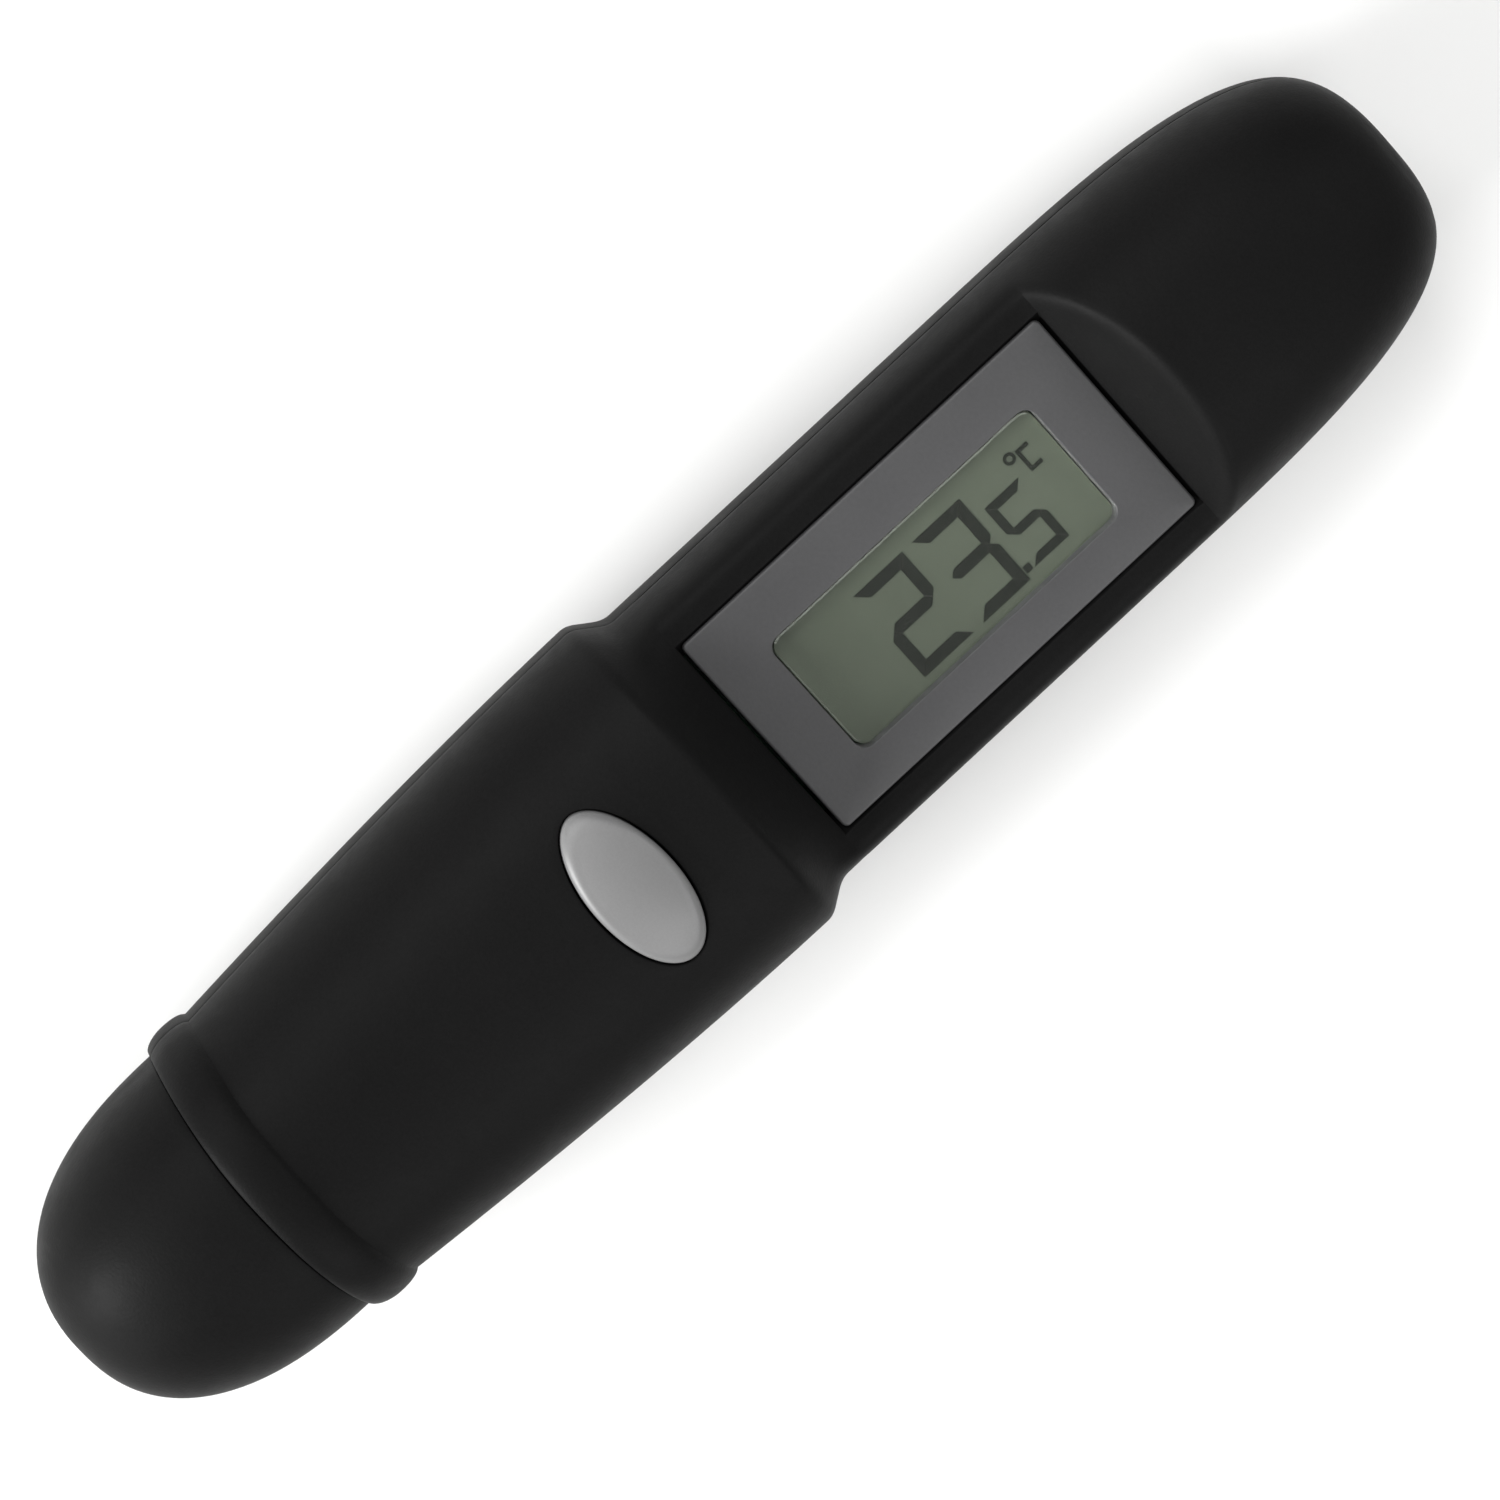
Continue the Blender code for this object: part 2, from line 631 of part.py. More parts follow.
def ellipse_rod(width, length, low, high, along):
    """An upright rod with an elliptic outline."""
    thing = rod(0.5, low, high, (0.0, station(along)), "Z", 40)
    thing.scale = (width, length, 1.0)
    apply_scale(thing)
    return thing


# ---------------------------------------------------------------- case

def front_housing():
    shell = shell_body()
    cut(shell, saddle_block(0.0), hollow(WALL), half_space(False))
    join(shell, *inner_supports(True))
    cut(shell, *tail_bores(), cone_bore(), nose_hole())
    hole_bottom = level(LIP_TOP)
    hole_top = level(HEAD_HEIGHT)
    panel_hole = block((PANEL_HOLE_WIDTH, PANEL_LENGTH, hole_top - hole_bottom),
                       (0.0, station(PANEL_MIDDLE), (hole_top + hole_bottom) / 2))
    button_hole = ellipse_rod(BUTTON_WIDTH + 2 * RUNNING_GAP, BUTTON_LENGTH + 2 * RUNNING_GAP,
                              level(LIP_TOP), level(2 * COLLAR_HEIGHT), BUTTON)
    cut(shell, panel_hole, button_hole)
    for along in SCREW_STATIONS.values():
        tip = SCREW_SINK + SCREW_HEAD_HEIGHT + SCREW_LENGTH + FIT_GAP
        cut(shell, rod(SCREW_RADIUS + RUNNING_GAP, 0.0, tip, (0.0, station(along)), points=24))
    return finish(shell, "front_housing", BLACK_ABS)


def back_housing():
    shell = shell_body()
    cut(shell, hollow(WALL), half_space(True))
    join(shell, seam_tongue(), *inner_supports(False))
    cut(shell, *tail_bores(), cone_bore(), nose_hole())
    for along in SCREW_STATIONS.values():
        centre = (0.0, station(along))
        seat = SCREW_SINK + SCREW_HEAD_HEIGHT + RUNNING_GAP
        cut(shell, rod(SCREW_HEAD_RADIUS + RUNNING_GAP, -WALL, seat, centre, points=24))
        cut(shell, rod(SCREW_RADIUS + RUNNING_GAP, -WALL, level(0.0), centre, points=24))
    return finish(shell, "back_housing", BLACK_ABS)


def case_screw(place, along):
    """Pan-head screw put in from the back, with a cross recess."""
    seat = SCREW_SINK + SCREW_HEAD_HEIGHT
    centre = (0.0, station(along))
    screw = rod(SCREW_HEAD_RADIUS, SCREW_SINK, seat, centre, points=24)
    join(screw, rod(SCREW_RADIUS, seat - SCREW_HEAD_HEIGHT / 2, seat + SCREW_LENGTH, centre, points=16))
    slot_depth = SCREW_HEAD_HEIGHT / 2
    for size in ((SCREW_HEAD_RADIUS * 1.2, SCREW_RADIUS / 2), (SCREW_RADIUS / 2, SCREW_HEAD_RADIUS * 1.2)):
        cut(screw, block((*size, 2 * slot_depth), (*centre, SCREW_SINK)))
    return finish(screw, "case_screw_" + place, STEEL)


# ---------------------------------------------------------------- battery cap and cells

def cap_bore(along):
    """Inner radius of the cap at a station."""
    foot = CELL_TAIL - FIT_GAP
    share = max(foot - along, 0.0) / (foot - CAP_TIP_WALL)
    return SKIRT_BORE * rounded_end(share, CAP_BORE_POWER)


def dome_shares(count):
    """Shares from 1 at the tip towards 0 at the foot, closer together at the tip."""
    return [math.cos(math.pi / 2 * step / count) for step in range(1, count + 1)]


def battery_cap():
    rings = []
    for share in dome_shares(9):
        base = CAP_LENGTH * (1.0 - share)
        end = rounded_end(share, TAIL_POWER)
        points = section((TAIL_HALF_WIDTH - CAP_STEP) * end, (TAIL_HEIGHT - CAP_STEP) * end,
                         (BACK_DEPTH + BACK_ROUNDING) * end, BACK_DEPTH)
        ring = []
        for number, (x, z) in enumerate(points):
            bow = RING_BOW * math.sin(2 * math.pi * number / SECTION_POINTS) ** 2
            ring.append((x, station(base - bow * (base / CAP_LENGTH) ** 2), level(z)))
        rings.append(ring)
    tip = (0.0, station(0.0), level(0.0))
    mouth = (0.0, station(CAP_LENGTH), level(0.0))
    cap = loft(rings, (tip, mouth))
    skirt = rod(SKIRT_RADIUS, station(TUBE_TAIL + RING_BOW), station(SKIRT_END), (0.0, level(0.0)),
                "Y", 48)
    join(cap, skirt)
    profile = [(0.0, SKIRT_END + WALL), (SKIRT_BORE, SKIRT_END + WALL)]
    foot = CELL_TAIL - FIT_GAP
    depth = foot - CAP_TIP_WALL
    profile += [(cap_bore(foot - depth * share), foot - depth * share)
                for share in reversed(dome_shares(8))]
    profile.append((0.0, CAP_TIP_WALL))
    cut(cap, turned(profile, 48, closed=False))
    return finish(cap, "battery_cap", BLACK_ABS)


def cup_tail():
    """Station of the contact cup's flat bottom, where the bore is just wider than the coil."""
    seat = SPRING_BASE + SPRING_WIRE / 2 + CONTACT_SHEET + FIT_GAP
    depth = CELL_TAIL - FIT_GAP - CAP_TIP_WALL
    return CELL_TAIL - FIT_GAP - depth * rounded_end(seat / SKIRT_BORE, CAP_BORE_POWER) + SEAM_GAP


def cap_contact():
    """Sheet-metal cup that lines the cap and meets the rim of the cell tube."""
    tail = cup_tail()
    head = TUBE_TAIL - FIT_GAP
    outer = []
    for step in range(7):
        along = head - (head - tail) * math.sin(math.pi / 2 * step / 6)
        outer.append((cap_bore(along) - SEAM_GAP, along))
    inner = [(radius - CONTACT_SHEET, max(along, tail + CONTACT_SHEET)) for radius, along in outer]
    profile = [(0.0, tail + CONTACT_SHEET)] + inner[::-1] + outer + [(0.0, tail)]
    return finish(turned(profile, 36, closed=False), "cap_contact", NICKEL)


def cap_spring():
    """Conical coil that pushes the cells against the terminal."""
    curve = bpy.data.curves.new("coil", "CURVE")
    curve.dimensions = "3D"
    curve.bevel_depth = SPRING_WIRE / 2
    curve.bevel_resolution = 2
    curve.use_fill_caps = True
    low = cup_tail() + CONTACT_SHEET + SEAM_GAP + SPRING_WIRE / 2
    high = CELL_TAIL - SEAM_GAP - SPRING_WIRE / 2
    count = 14 * SPRING_TURNS
    spline = curve.splines.new("POLY")
    spline.points.add(count)
    for step, point in enumerate(spline.points):
        share = step / count
        angle = 2 * math.pi * SPRING_TURNS * share
        radius = SPRING_BASE + (SPRING_TOP - SPRING_BASE) * share
        point.co = (radius * math.cos(angle), station(low + (high - low) * share),
                    level(radius * math.sin(angle)), 1.0)
    return finish(curve_to_mesh(curve), "cap_spring", SPRING_STEEL)


def cap_seal():
    """Flat rubber ring between the cap's skirt and the tube's flange."""
    head = SEAL_TAIL + SEAL_LENGTH
    profile = [(SKIRT_RADIUS, head), (SKIRT_RADIUS, SEAL_TAIL), (SKIRT_BORE, SEAL_TAIL), (SKIRT_BORE, head)]
    return finish(turned(profile, 48), "cap_seal", RUBBER)


def cell_tube():
    """Plated tube that holds both cells and carries the negative side to the board."""
    flange = SKIRT_RADIUS
    profile = [(TUBE_RADIUS, TUBE_HEAD), (TUBE_RADIUS, FLANGE_TAIL + FLANGE_LENGTH),
               (flange, FLANGE_TAIL + FLANGE_LENGTH), (flange, FLANGE_TAIL),
               (TUBE_RADIUS, FLANGE_TAIL), (TUBE_RADIUS, TUBE_TAIL), (BORE, TUBE_TAIL), (BORE, TUBE_HEAD)]
    return finish(turned(profile, 48), "cell_tube", NICKEL)


def button_cell(number, tail):
    """Button cell: the wide can, and the narrower cap of its other pole with a small step."""
    radius = CELL_DIAMETER / 2
    pole = radius * CELL_POLE_SHARE
    step = CELL_LENGTH * CELL_STEP_SHARE
    head = tail + CELL_LENGTH
    profile = [(0.0, head), (radius - step / 2, head), (radius, head - step / 2), (radius, tail + step),
               (pole, tail + step), (pole, tail), (0.0, tail)]
    return finish(turned(profile, 40, closed=False), f"button_cell_{number}", STEEL)


def positive_terminal():
    """Rivet whose flat head touches the cells and whose shank goes through the insulator."""
    shank = TERMINAL_RADIUS / 5
    end = TUBE_HEAD + FLANGE_LENGTH
    head = TERMINAL + CONTACT_SHEET
    profile = [(0.0, end), (shank, end), (shank, head), (TERMINAL_RADIUS, head),
               (TERMINAL_RADIUS, TERMINAL), (0.0, TERMINAL)]
    return finish(turned(profile, 24, closed=False), "positive_terminal", BRASS)


def terminal_insulator():
    hole = TERMINAL_RADIUS / 5 + RUNNING_GAP
    radius = BORE - RUNNING_GAP
    profile = [(radius, TUBE_HEAD), (radius, INSULATOR_TAIL), (hole, INSULATOR_TAIL), (hole, TUBE_HEAD)]
    return finish(turned(profile, 32), "terminal_insulator", WHITE_PLASTIC)


def wire(name, points, radius, look):
    """A round wire along points given as (x, station, level)."""
    curve = bpy.data.curves.new(name, "CURVE")
    curve.dimensions = "3D"
    curve.bevel_depth = radius
    curve.bevel_resolution = 2
    curve.use_fill_caps = True
    spline = curve.splines.new("POLY")
    spline.points.add(len(points) - 1)
    for point, (x, along, height) in zip(spline.points, points):
        point.co = (x, station(along), level(height), 1.0)
    return finish(curve_to_mesh(curve), name, look)


def bent(start, corner, end, steps=4, straight=0.35):
    """Points of a wire from start to end, straight at both ends and rounded near the corner."""
    points = [start]
    for step in range(steps + 1):
        share = straight + (1 - 2 * straight) * step / steps
        points.append(tuple((1 - share) ** 2 * a + 2 * share * (1 - share) * b + share ** 2 * c
                            for a, b, c in zip(start, corner, end)))
    points.append(end)
    return points


def battery_leads():
    radius = BATTERY_LEAD_RADIUS
    pad = BOARD_TOP + SEAM_GAP + radius
    tail = TUBE_HEAD + FLANGE_LENGTH + SEAM_GAP
    corner = tail + BOARD_TAIL - TUBE_HEAD
    wire("positive_lead", bent((0.0, tail, 0.0), (0.0, corner, 0.0), (0.0, corner, pad)), radius, RUBBER)
    rim = (BORE + TUBE_RADIUS) / 2
    height = -LEAD_PITCH / 2
    pad_x = BOARD_WIDTH / 2 - 2 * radius
    start = (math.sqrt(rim ** 2 - height ** 2), TUBE_HEAD + SEAM_GAP, height)
    wire("negative_lead", bent(start, (pad_x, corner, height), (pad_x, corner, pad)), radius, RUBBER)


# ---------------------------------------------------------------- push button

def crown(x, along):
    """Level of the outer surface at a distance x from the middle."""
    share = min(abs(x) / half_width(along), 1.0)
    return front_height(along) * (1.0 - share ** SECTION_POWER) ** (1.0 / SECTION_POWER)


def button_lip_top():
    inner = crown(BUTTON_WIDTH / 2 + BUTTON_LIP, BUTTON) - WALL
    return inner - FIT_GAP


def button_cap():
    """Domed elliptic button that follows the crown, with a lip inside and a stem to the switch."""
    rings = []
    lip_top = button_lip_top()
    bottom = lip_top - BUTTON_LIP_THICKNESS / 2
    steps = 40

    def ellipse(share, rise):
        ring = []
        for step in range(steps):
            angle = 2 * math.pi * step / steps
            x = BUTTON_WIDTH / 2 * share * math.cos(angle)
            y = BUTTON_LENGTH / 2 * share * math.sin(angle)
            height = bottom if rise is None else crown(x, BUTTON) + rise
            ring.append((x, station(BUTTON) + y, level(height)))
        return ring

    rings.append(ellipse(1.0, None))
    for step in range(6):
        tilt = math.pi / 2 * step / 6
        edge = BUTTON_TOP_SHARE + (1.0 - BUTTON_TOP_SHARE) * math.cos(tilt)
        rings.append(ellipse(edge, BUTTON_RISE * BUTTON_EDGE_RISE * math.sin(tilt)))
    for step in range(3):
        share = BUTTON_TOP_SHARE * (1.0 - step / 3)
        rings.append(ellipse(share, BUTTON_RISE * (1.0 - (1.0 - BUTTON_EDGE_RISE) * share ** 2)))
    top = (0.0, station(BUTTON), level(crown(0.0, BUTTON) + BUTTON_RISE))
    cap = loft(rings, (None, top))
    lip = ellipse_rod(BUTTON_WIDTH + 2 * BUTTON_LIP, BUTTON_LENGTH + 2 * BUTTON_LIP,
                      level(lip_top - BUTTON_LIP_THICKNESS), level(lip_top), BUTTON)
    plunger_top = BOARD_TOP + SEAM_GAP + SWITCH_HEIGHT + PLUNGER_HEIGHT
    stem = rod(STEM_RADIUS, level(plunger_top + SEAM_GAP), level(lip_top - BUTTON_LIP_THICKNESS / 2),
               (0.0, station(BUTTON)), points=24)
    join(cap, lip, stem)
    return finish(cap, "button_cap", BUTTON_GREY)


def button_switch():
    low = BOARD_TOP + SEAM_GAP
    high = low + SWITCH_HEIGHT
    body = block((SWITCH_SIDE, SWITCH_SIDE, SWITCH_HEIGHT),
                 (0.0, station(BUTTON), level((low + high) / 2)))
    well = high - BUTTON_TRAVEL - 2 * FIT_GAP
    cut(body, rod(PLUNGER_RADIUS + RUNNING_GAP, level(well), level(high + WALL), (0.0, station(BUTTON)),
                  points=24))
    finish(body, "switch_body", CHIP_BLACK, smooth=False)
    plunger = rod(PLUNGER_RADIUS, level(well + BUTTON_TRAVEL + FIT_GAP), level(high + PLUNGER_HEIGHT),
                  (0.0, station(BUTTON)), points=24)
    finish(plunger, "switch_plunger", WHITE_PLASTIC)


# ---------------------------------------------------------------- display stack

def display_panel():
    """Grey panel that drops through the floor's hole from inside and stops on its lip."""
    length = PANEL_LENGTH - 2 * RUNNING_GAP
    top = level(PANEL_TOP)
    low = level(LIP_BOTTOM)
    middle = station(PANEL_MIDDLE)
    panel = plate(PANEL_WIDTH, length, top - low, PANEL_CORNER, (0.0, middle, (top + low) / 2))
    lip = block((PANEL_WIDTH + 2 * PANEL_LIP, length + 2 * PANEL_LIP, PANEL_LIP_THICKNESS),
                (0.0, middle, level((LIP_TOP + LIP_BOTTOM) / 2)))
    window = plate(WINDOW_WIDTH, WINDOW_LENGTH, 2 * (top - low), WINDOW_CORNER,
                   (WINDOW_OFFSET, middle, (top + low) / 2))
    join(panel, lip)
    cut(panel, window)
    return finish(panel, "display_panel", GREY_ABS, smooth=False)


def display_lens():
    middle = level(PANEL_TOP - LENS_RECESS - LENS_THICKNESS / 2)
    lens = plate(WINDOW_WIDTH - 2 * RUNNING_GAP, WINDOW_LENGTH - 2 * RUNNING_GAP, LENS_THICKNESS,
                 WINDOW_CORNER - RUNNING_GAP, (WINDOW_OFFSET, station(PANEL_MIDDLE), middle))
    return finish(lens, "display_lens", CLEAR, smooth=False)


def display_cell():
    middle = station(PANEL_MIDDLE)
    glass = block((LCD_WIDTH, LCD_LENGTH, LCD_THICKNESS),
                  (WINDOW_OFFSET, middle, level((LCD_TOP + LCD_BOTTOM) / 2)))
    finish(glass, "lcd_glass", LCD_GREEN, smooth=False)
    film_low = LCD_TOP + SEAM_GAP / 2
    film = block((LCD_WIDTH - LCD_OVERLAP, LCD_LENGTH - LCD_OVERLAP, POLARISER_THICKNESS),
                 (WINDOW_OFFSET, middle, level(film_low + POLARISER_THICKNESS / 2)))
    finish(film, "lcd_polariser", LCD_GREEN, smooth=False)
    for side, name in ((-1, "left"), (1, "right")):
        x = WINDOW_OFFSET + side * (LCD_WIDTH / 2 - STRIP_WIDTH / 2 - RUNNING_GAP)
        strip = block((STRIP_WIDTH, LCD_LENGTH - 2 * RUNNING_GAP, STRIP_HEIGHT),
                      (x, middle, level(STRIP_TOP - STRIP_HEIGHT / 2)))
        finish(strip, "contact_strip_" + name, RUBBER, smooth=False)


def lcd_frame():
    """Frame that holds the glass and its contact strips down on the board."""
    low = BOARD_TOP + SEAM_GAP
    high = LCD_TOP
    size = (LCD_WIDTH + 2 * RUNNING_GAP, LCD_LENGTH + 2 * RUNNING_GAP)
    centre = (WINDOW_OFFSET, station(PANEL_MIDDLE), level((low + high) / 2))
    frame = block((size[0] + 2 * FRAME_WALL, size[1] + 2 * FRAME_WALL, high - low), centre)
    cut(frame, block((*size, 2 * (high - low)), centre))
    return finish(frame, "lcd_frame", WHITE_PLASTIC, smooth=False)


# ---------------------------------------------------------------- circuit board

def circuit_board():
    low = level(BOARD_BOTTOM)
    high = level(BOARD_TOP)
    length = BOARD_HEAD - BOARD_TAIL
    board = block((BOARD_WIDTH, length, high - low),
                  (0.0, station((BOARD_HEAD + BOARD_TAIL) / 2), (low + high) / 2))
    for along in SCREW_STATIONS.values():
        hole = rod(SCREW_RADIUS + FIT_GAP, low - WALL, high + WALL, (0.0, station(along)), points=24)
        cut(board, hole)
    return finish(board, "circuit_board", BOARD_GREEN, smooth=False)


def under_board(name, size, x, along, look):
    """A square component soldered to the under side of the board."""
    top = BOARD_BOTTOM - SEAM_GAP
    piece = block(size, (x, station(along), level(top - size[2] / 2)))
    return finish(piece, name, look, smooth=False)


def components():
    under_board("controller_chip", (CHIP_SIDE, CHIP_SIDE, CHIP_HEIGHT), 0.0, PANEL_MIDDLE, CHIP_BLACK)
    amplifier = (AMPLIFIER_SIDE, AMPLIFIER_SIDE, AMPLIFIER_HEIGHT)
    under_board("amplifier_chip", amplifier, 0.0, PANEL_HEAD - AMPLIFIER_SIDE, CHIP_BLACK)
    under_board("sense_capacitor", (CAPACITOR_SIDE, 2 * CAPACITOR_SIDE, CAPACITOR_HEIGHT),
                BOARD_WIDTH / 4, PANEL_MIDDLE - CHIP_SIDE - CAPACITOR_SIDE, CERAMIC_TAN)
    crystal_station = PANEL_TAIL - CRYSTAL_LENGTH / 2
    crystal = rod(CRYSTAL_RADIUS, station(crystal_station - CRYSTAL_LENGTH / 2),
                  station(crystal_station + CRYSTAL_LENGTH / 2),
                  (-BOARD_WIDTH / 4, level(BOARD_BOTTOM - SEAM_GAP - CRYSTAL_RADIUS)), "Y", 20)
    finish(crystal, "clock_crystal", STEEL)


# ---------------------------------------------------------------- infrared sensor

def sensor_cone():
    """Aluminium sleeve that keeps the sensor warm evenly and opens as a cone to the nose."""
    shoulder = CONE_END - CONE_NOSE_LENGTH
    chamfer = CONE_RADIUS - CONE_NOSE_RADIUS
    throat = CAN_TAIL + CAN_LENGTH + FIT_GAP
    rear = HEADER_RADIUS + RUNNING_GAP
    profile = [(CONE_NOSE_RADIUS, CONE_END), (CONE_NOSE_RADIUS, shoulder),
               (CONE_RADIUS, shoulder - chamfer / 2), (CONE_RADIUS, CONE_TAIL), (rear, CONE_TAIL),
               (rear, throat), (THROAT_RADIUS, throat), (CONE_MOUTH_RADIUS, CONE_END)]
    return finish(turned(profile, 36), "sensor_cone", ALUMINIUM)


def sensor():
    profile = [(0.0, CAN_TAIL), (HEADER_RADIUS, CAN_TAIL), (HEADER_RADIUS, HEADER_TAIL), (0.0, HEADER_TAIL)]
    finish(turned(profile, 32, closed=False), "sensor_header", GOLD)
    low = CAN_TAIL + SEAM_GAP
    high = CAN_TAIL + CAN_LENGTH
    hole = FILTER_RADIUS - RUNNING_GAP
    inner = CAN_RADIUS - CAN_WALL
    profile = [(hole, high), (CAN_RADIUS, high), (CAN_RADIUS, low), (inner, low), (inner, high - CAN_WALL),
               (hole, high - CAN_WALL)]
    finish(turned(profile, 32), "sensor_can", NICKEL)
    back = high - CAN_WALL - RUNNING_GAP
    profile = [(0.0, back), (FILTER_RADIUS, back), (FILTER_RADIUS, back - FILTER_LENGTH),
               (0.0, back - FILTER_LENGTH)]
    finish(turned(profile, 24, closed=False), "sensor_filter", IR_DARK)
    pad = BOARD_TOP + SEAM_GAP + LEAD_RADIUS
    tail = HEADER_TAIL - SEAM_GAP
    for row, splay in enumerate(LEAD_SPLAY):
        height = LEAD_PITCH / 2 - LEAD_PITCH * row
        corner = BOARD_HEAD - (3 - row) * 2 * LEAD_RADIUS
        for side, name in ((-1, "left"), (1, "right")):
            x = side * LEAD_PITCH / 2 * splay
            path = [(x, tail, height), (x, corner + LEAD_RADIUS, height), (x, corner, height - LEAD_RADIUS),
                    (x, corner, pad)]
            wire(f"sensor_lead_{name}_{row + 1}", path, LEAD_RADIUS, GOLD)


def nose_lens():
    """Dark infrared window in the nose, slightly domed."""
    profile = []
    for step in range(5):
        share = step / 4
        profile.append((NOSE_RADIUS * share, LENGTH - NOSE_DOME * share ** 2))
    profile += [(NOSE_RADIUS, LENS_TAIL), (0.0, LENS_TAIL)]
    return finish(turned(profile, 36, closed=False), "nose_lens", IR_DARK)


# ---------------------------------------------------------------- assembly

clear_scene()
PARTS = make_collection("infrared_thermometer")
CUTTERS = make_collection("cutters")

front_housing()
back_housing()
for screw_place, screw_station in SCREW_STATIONS.items():
    case_screw(screw_place, screw_station)
battery_cap()
cap_contact()
cap_spring()
cap_seal()
cell_tube()
button_cell(1, CELL_TAIL)
button_cell(2, CELL_TAIL + CELL_LENGTH + SEAM_GAP)
positive_terminal()
terminal_insulator()
battery_leads()
button_cap()
button_switch()
display_panel()
display_lens()
display_cell()
lcd_frame()
circuit_board()
components()
sensor_cone()
sensor()
nose_lens()
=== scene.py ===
import math

import bmesh
import bpy
from mathutils import Matrix, Vector


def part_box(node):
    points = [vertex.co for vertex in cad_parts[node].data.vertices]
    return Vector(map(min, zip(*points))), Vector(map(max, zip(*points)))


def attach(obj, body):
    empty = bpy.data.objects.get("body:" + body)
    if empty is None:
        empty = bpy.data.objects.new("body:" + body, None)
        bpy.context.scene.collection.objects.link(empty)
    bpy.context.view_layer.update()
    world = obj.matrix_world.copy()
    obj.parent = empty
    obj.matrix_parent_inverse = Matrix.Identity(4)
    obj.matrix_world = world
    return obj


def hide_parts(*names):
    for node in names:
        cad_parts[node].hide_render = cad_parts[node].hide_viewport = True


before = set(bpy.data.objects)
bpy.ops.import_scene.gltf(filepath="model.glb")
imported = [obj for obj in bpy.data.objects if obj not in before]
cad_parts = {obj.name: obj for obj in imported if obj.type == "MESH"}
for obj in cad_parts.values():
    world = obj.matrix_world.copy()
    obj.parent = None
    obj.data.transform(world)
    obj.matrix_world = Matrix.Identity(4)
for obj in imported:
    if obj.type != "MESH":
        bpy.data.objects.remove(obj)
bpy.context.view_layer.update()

# ---------------- case
# Two moulded shells of black ABS that meet along the pen's sides and are screwed together from the
# back. Both have the grip ring and the collar; the front has the sunk display bay, the back a flat.
# The mould is spark-eroded: the plastic is matt, with a fine even grain that light only skims over.

MM = 0.001
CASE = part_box("front_housing")
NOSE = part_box("nose_lens")
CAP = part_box("battery_cap")
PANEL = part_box("display_panel")
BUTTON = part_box("button_cap")
SCREWS = [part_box("case_screw_" + place) for place in ("tail", "head")]

# Places run along +Y from the tail to the nose, and heights are measured from the middle plane.
MID = (NOSE[0].z + NOSE[1].z) / 2
TAIL_TIP = CAP[0].y
NOSE_TIP = NOSE[1].y
SKIRT_REACH = 1.0 * MM
JOINT = CAP[1].y - SKIRT_REACH
SKIRT_RADIUS = 6.9 * MM
MOUTH_RADIUS = 7.05 * MM
MOUTH_DEPTH = 4.4 * MM
PANEL_LIP = 0.45 * MM
PANEL_TAIL = PANEL[0].y + PANEL_LIP
PANEL_HEAD = PANEL[1].y - PANEL_LIP
PANEL_SIDE = PANEL[1].x - PANEL_LIP
COLLAR = PANEL_TAIL - 3.05 * MM
COLLAR_STEP = 1.5 * MM
SCOOP_RUN = 2.4 * MM
DOME = PANEL_HEAD - 3.9 * MM

TAIL_WIDTH = CAP[1].x + 0.1 * MM
COLLAR_WIDTH = CASE[1].x
HEAD_WIDTH = PANEL_SIDE + 2.1 * MM
TAIL_HEIGHT = MID
COLLAR_HEIGHT = MID + 0.25 * MM
HEAD_HEIGHT = MID - 0.05 * MM
BACK_HEIGHT = MID + 0.7 * MM
SADDLE = PANEL[1].z - 0.1 * MM - MID
SECTION_POWER = 2.3
SLEEVE_POWER = 1.7
HEAD_POWER = 3.6
RING_LENGTH = 2.4 * MM
RING_HEIGHT = 0.42 * MM
RING_TOP = 0.45
RING_FALL = 0.6
RING_BLEND = 0.16 * MM
RING_SINK = 0.04 * MM
RING_BOW = 0.8 * MM
BOW_END = JOINT + 9.0 * MM

# Lengths over which two surfaces blend. The bay's shortens up the scoop: how fast, and how much at most
SLOPE_FOOT = 0.3 * MM
SLOPE_TOP = 0.25 * MM
CREST = 0.35 * MM
FLAT_EDGE = 0.35 * MM
BAY_EDGE = 1.3 * MM
BAY_EDGE_LOSS = (0.4, 0.6 * MM)

WALL = 1.1 * MM
SEAM = 0.02 * MM
EDGE = 0.07 * MM
NOSE_HOLE = NOSE[1].x + 0.1 * MM
BUTTON_MIDDLE = (BUTTON[0].y + BUTTON[1].y) / 2
BUTTON_HOLE = (4.62 * MM, 2.32 * MM)
BUTTON_FIELD = (5.9 * MM, 3.3 * MM)
SCREW_HOLE = 1.6 * MM
SCREW_FIELD = (2.9 * MM, 2.9 * MM)


def soft_min(a, b, blend):
    """The smaller of two heights, rounded where they cross over about the length of blend."""
    share = max(blend - abs(a - b), 0.0) / blend
    return min(a, b) - share * share * blend / 4


def soft_max(a, b, blend):
    """The larger of two heights, rounded in the same way."""
    return -soft_min(-a, -b, blend)


def dome_share(y):
    """How much of the full section is left at y in the rounded sensor end."""
    reach = min(max(y - DOME, 0.0) / (NOSE_TIP - DOME), 1.0)
    return (1.0 - reach ** HEAD_POWER) ** (1.0 / HEAD_POWER)


def stepped(y, tail, collar, head, power):
    """A size that grows along the sleeve to the collar, then drops to the head over a short slope."""
    share = min(max((y - JOINT) / (COLLAR - JOINT), 0.0), 1.0)
    sleeve = tail + (collar - tail) * (1.0 - (1.0 - share) ** power)
    slope = collar + (head - collar) * (y - COLLAR) / COLLAR_STEP
    return soft_min(sleeve, soft_max(slope, head, SLOPE_FOOT), SLOPE_TOP)


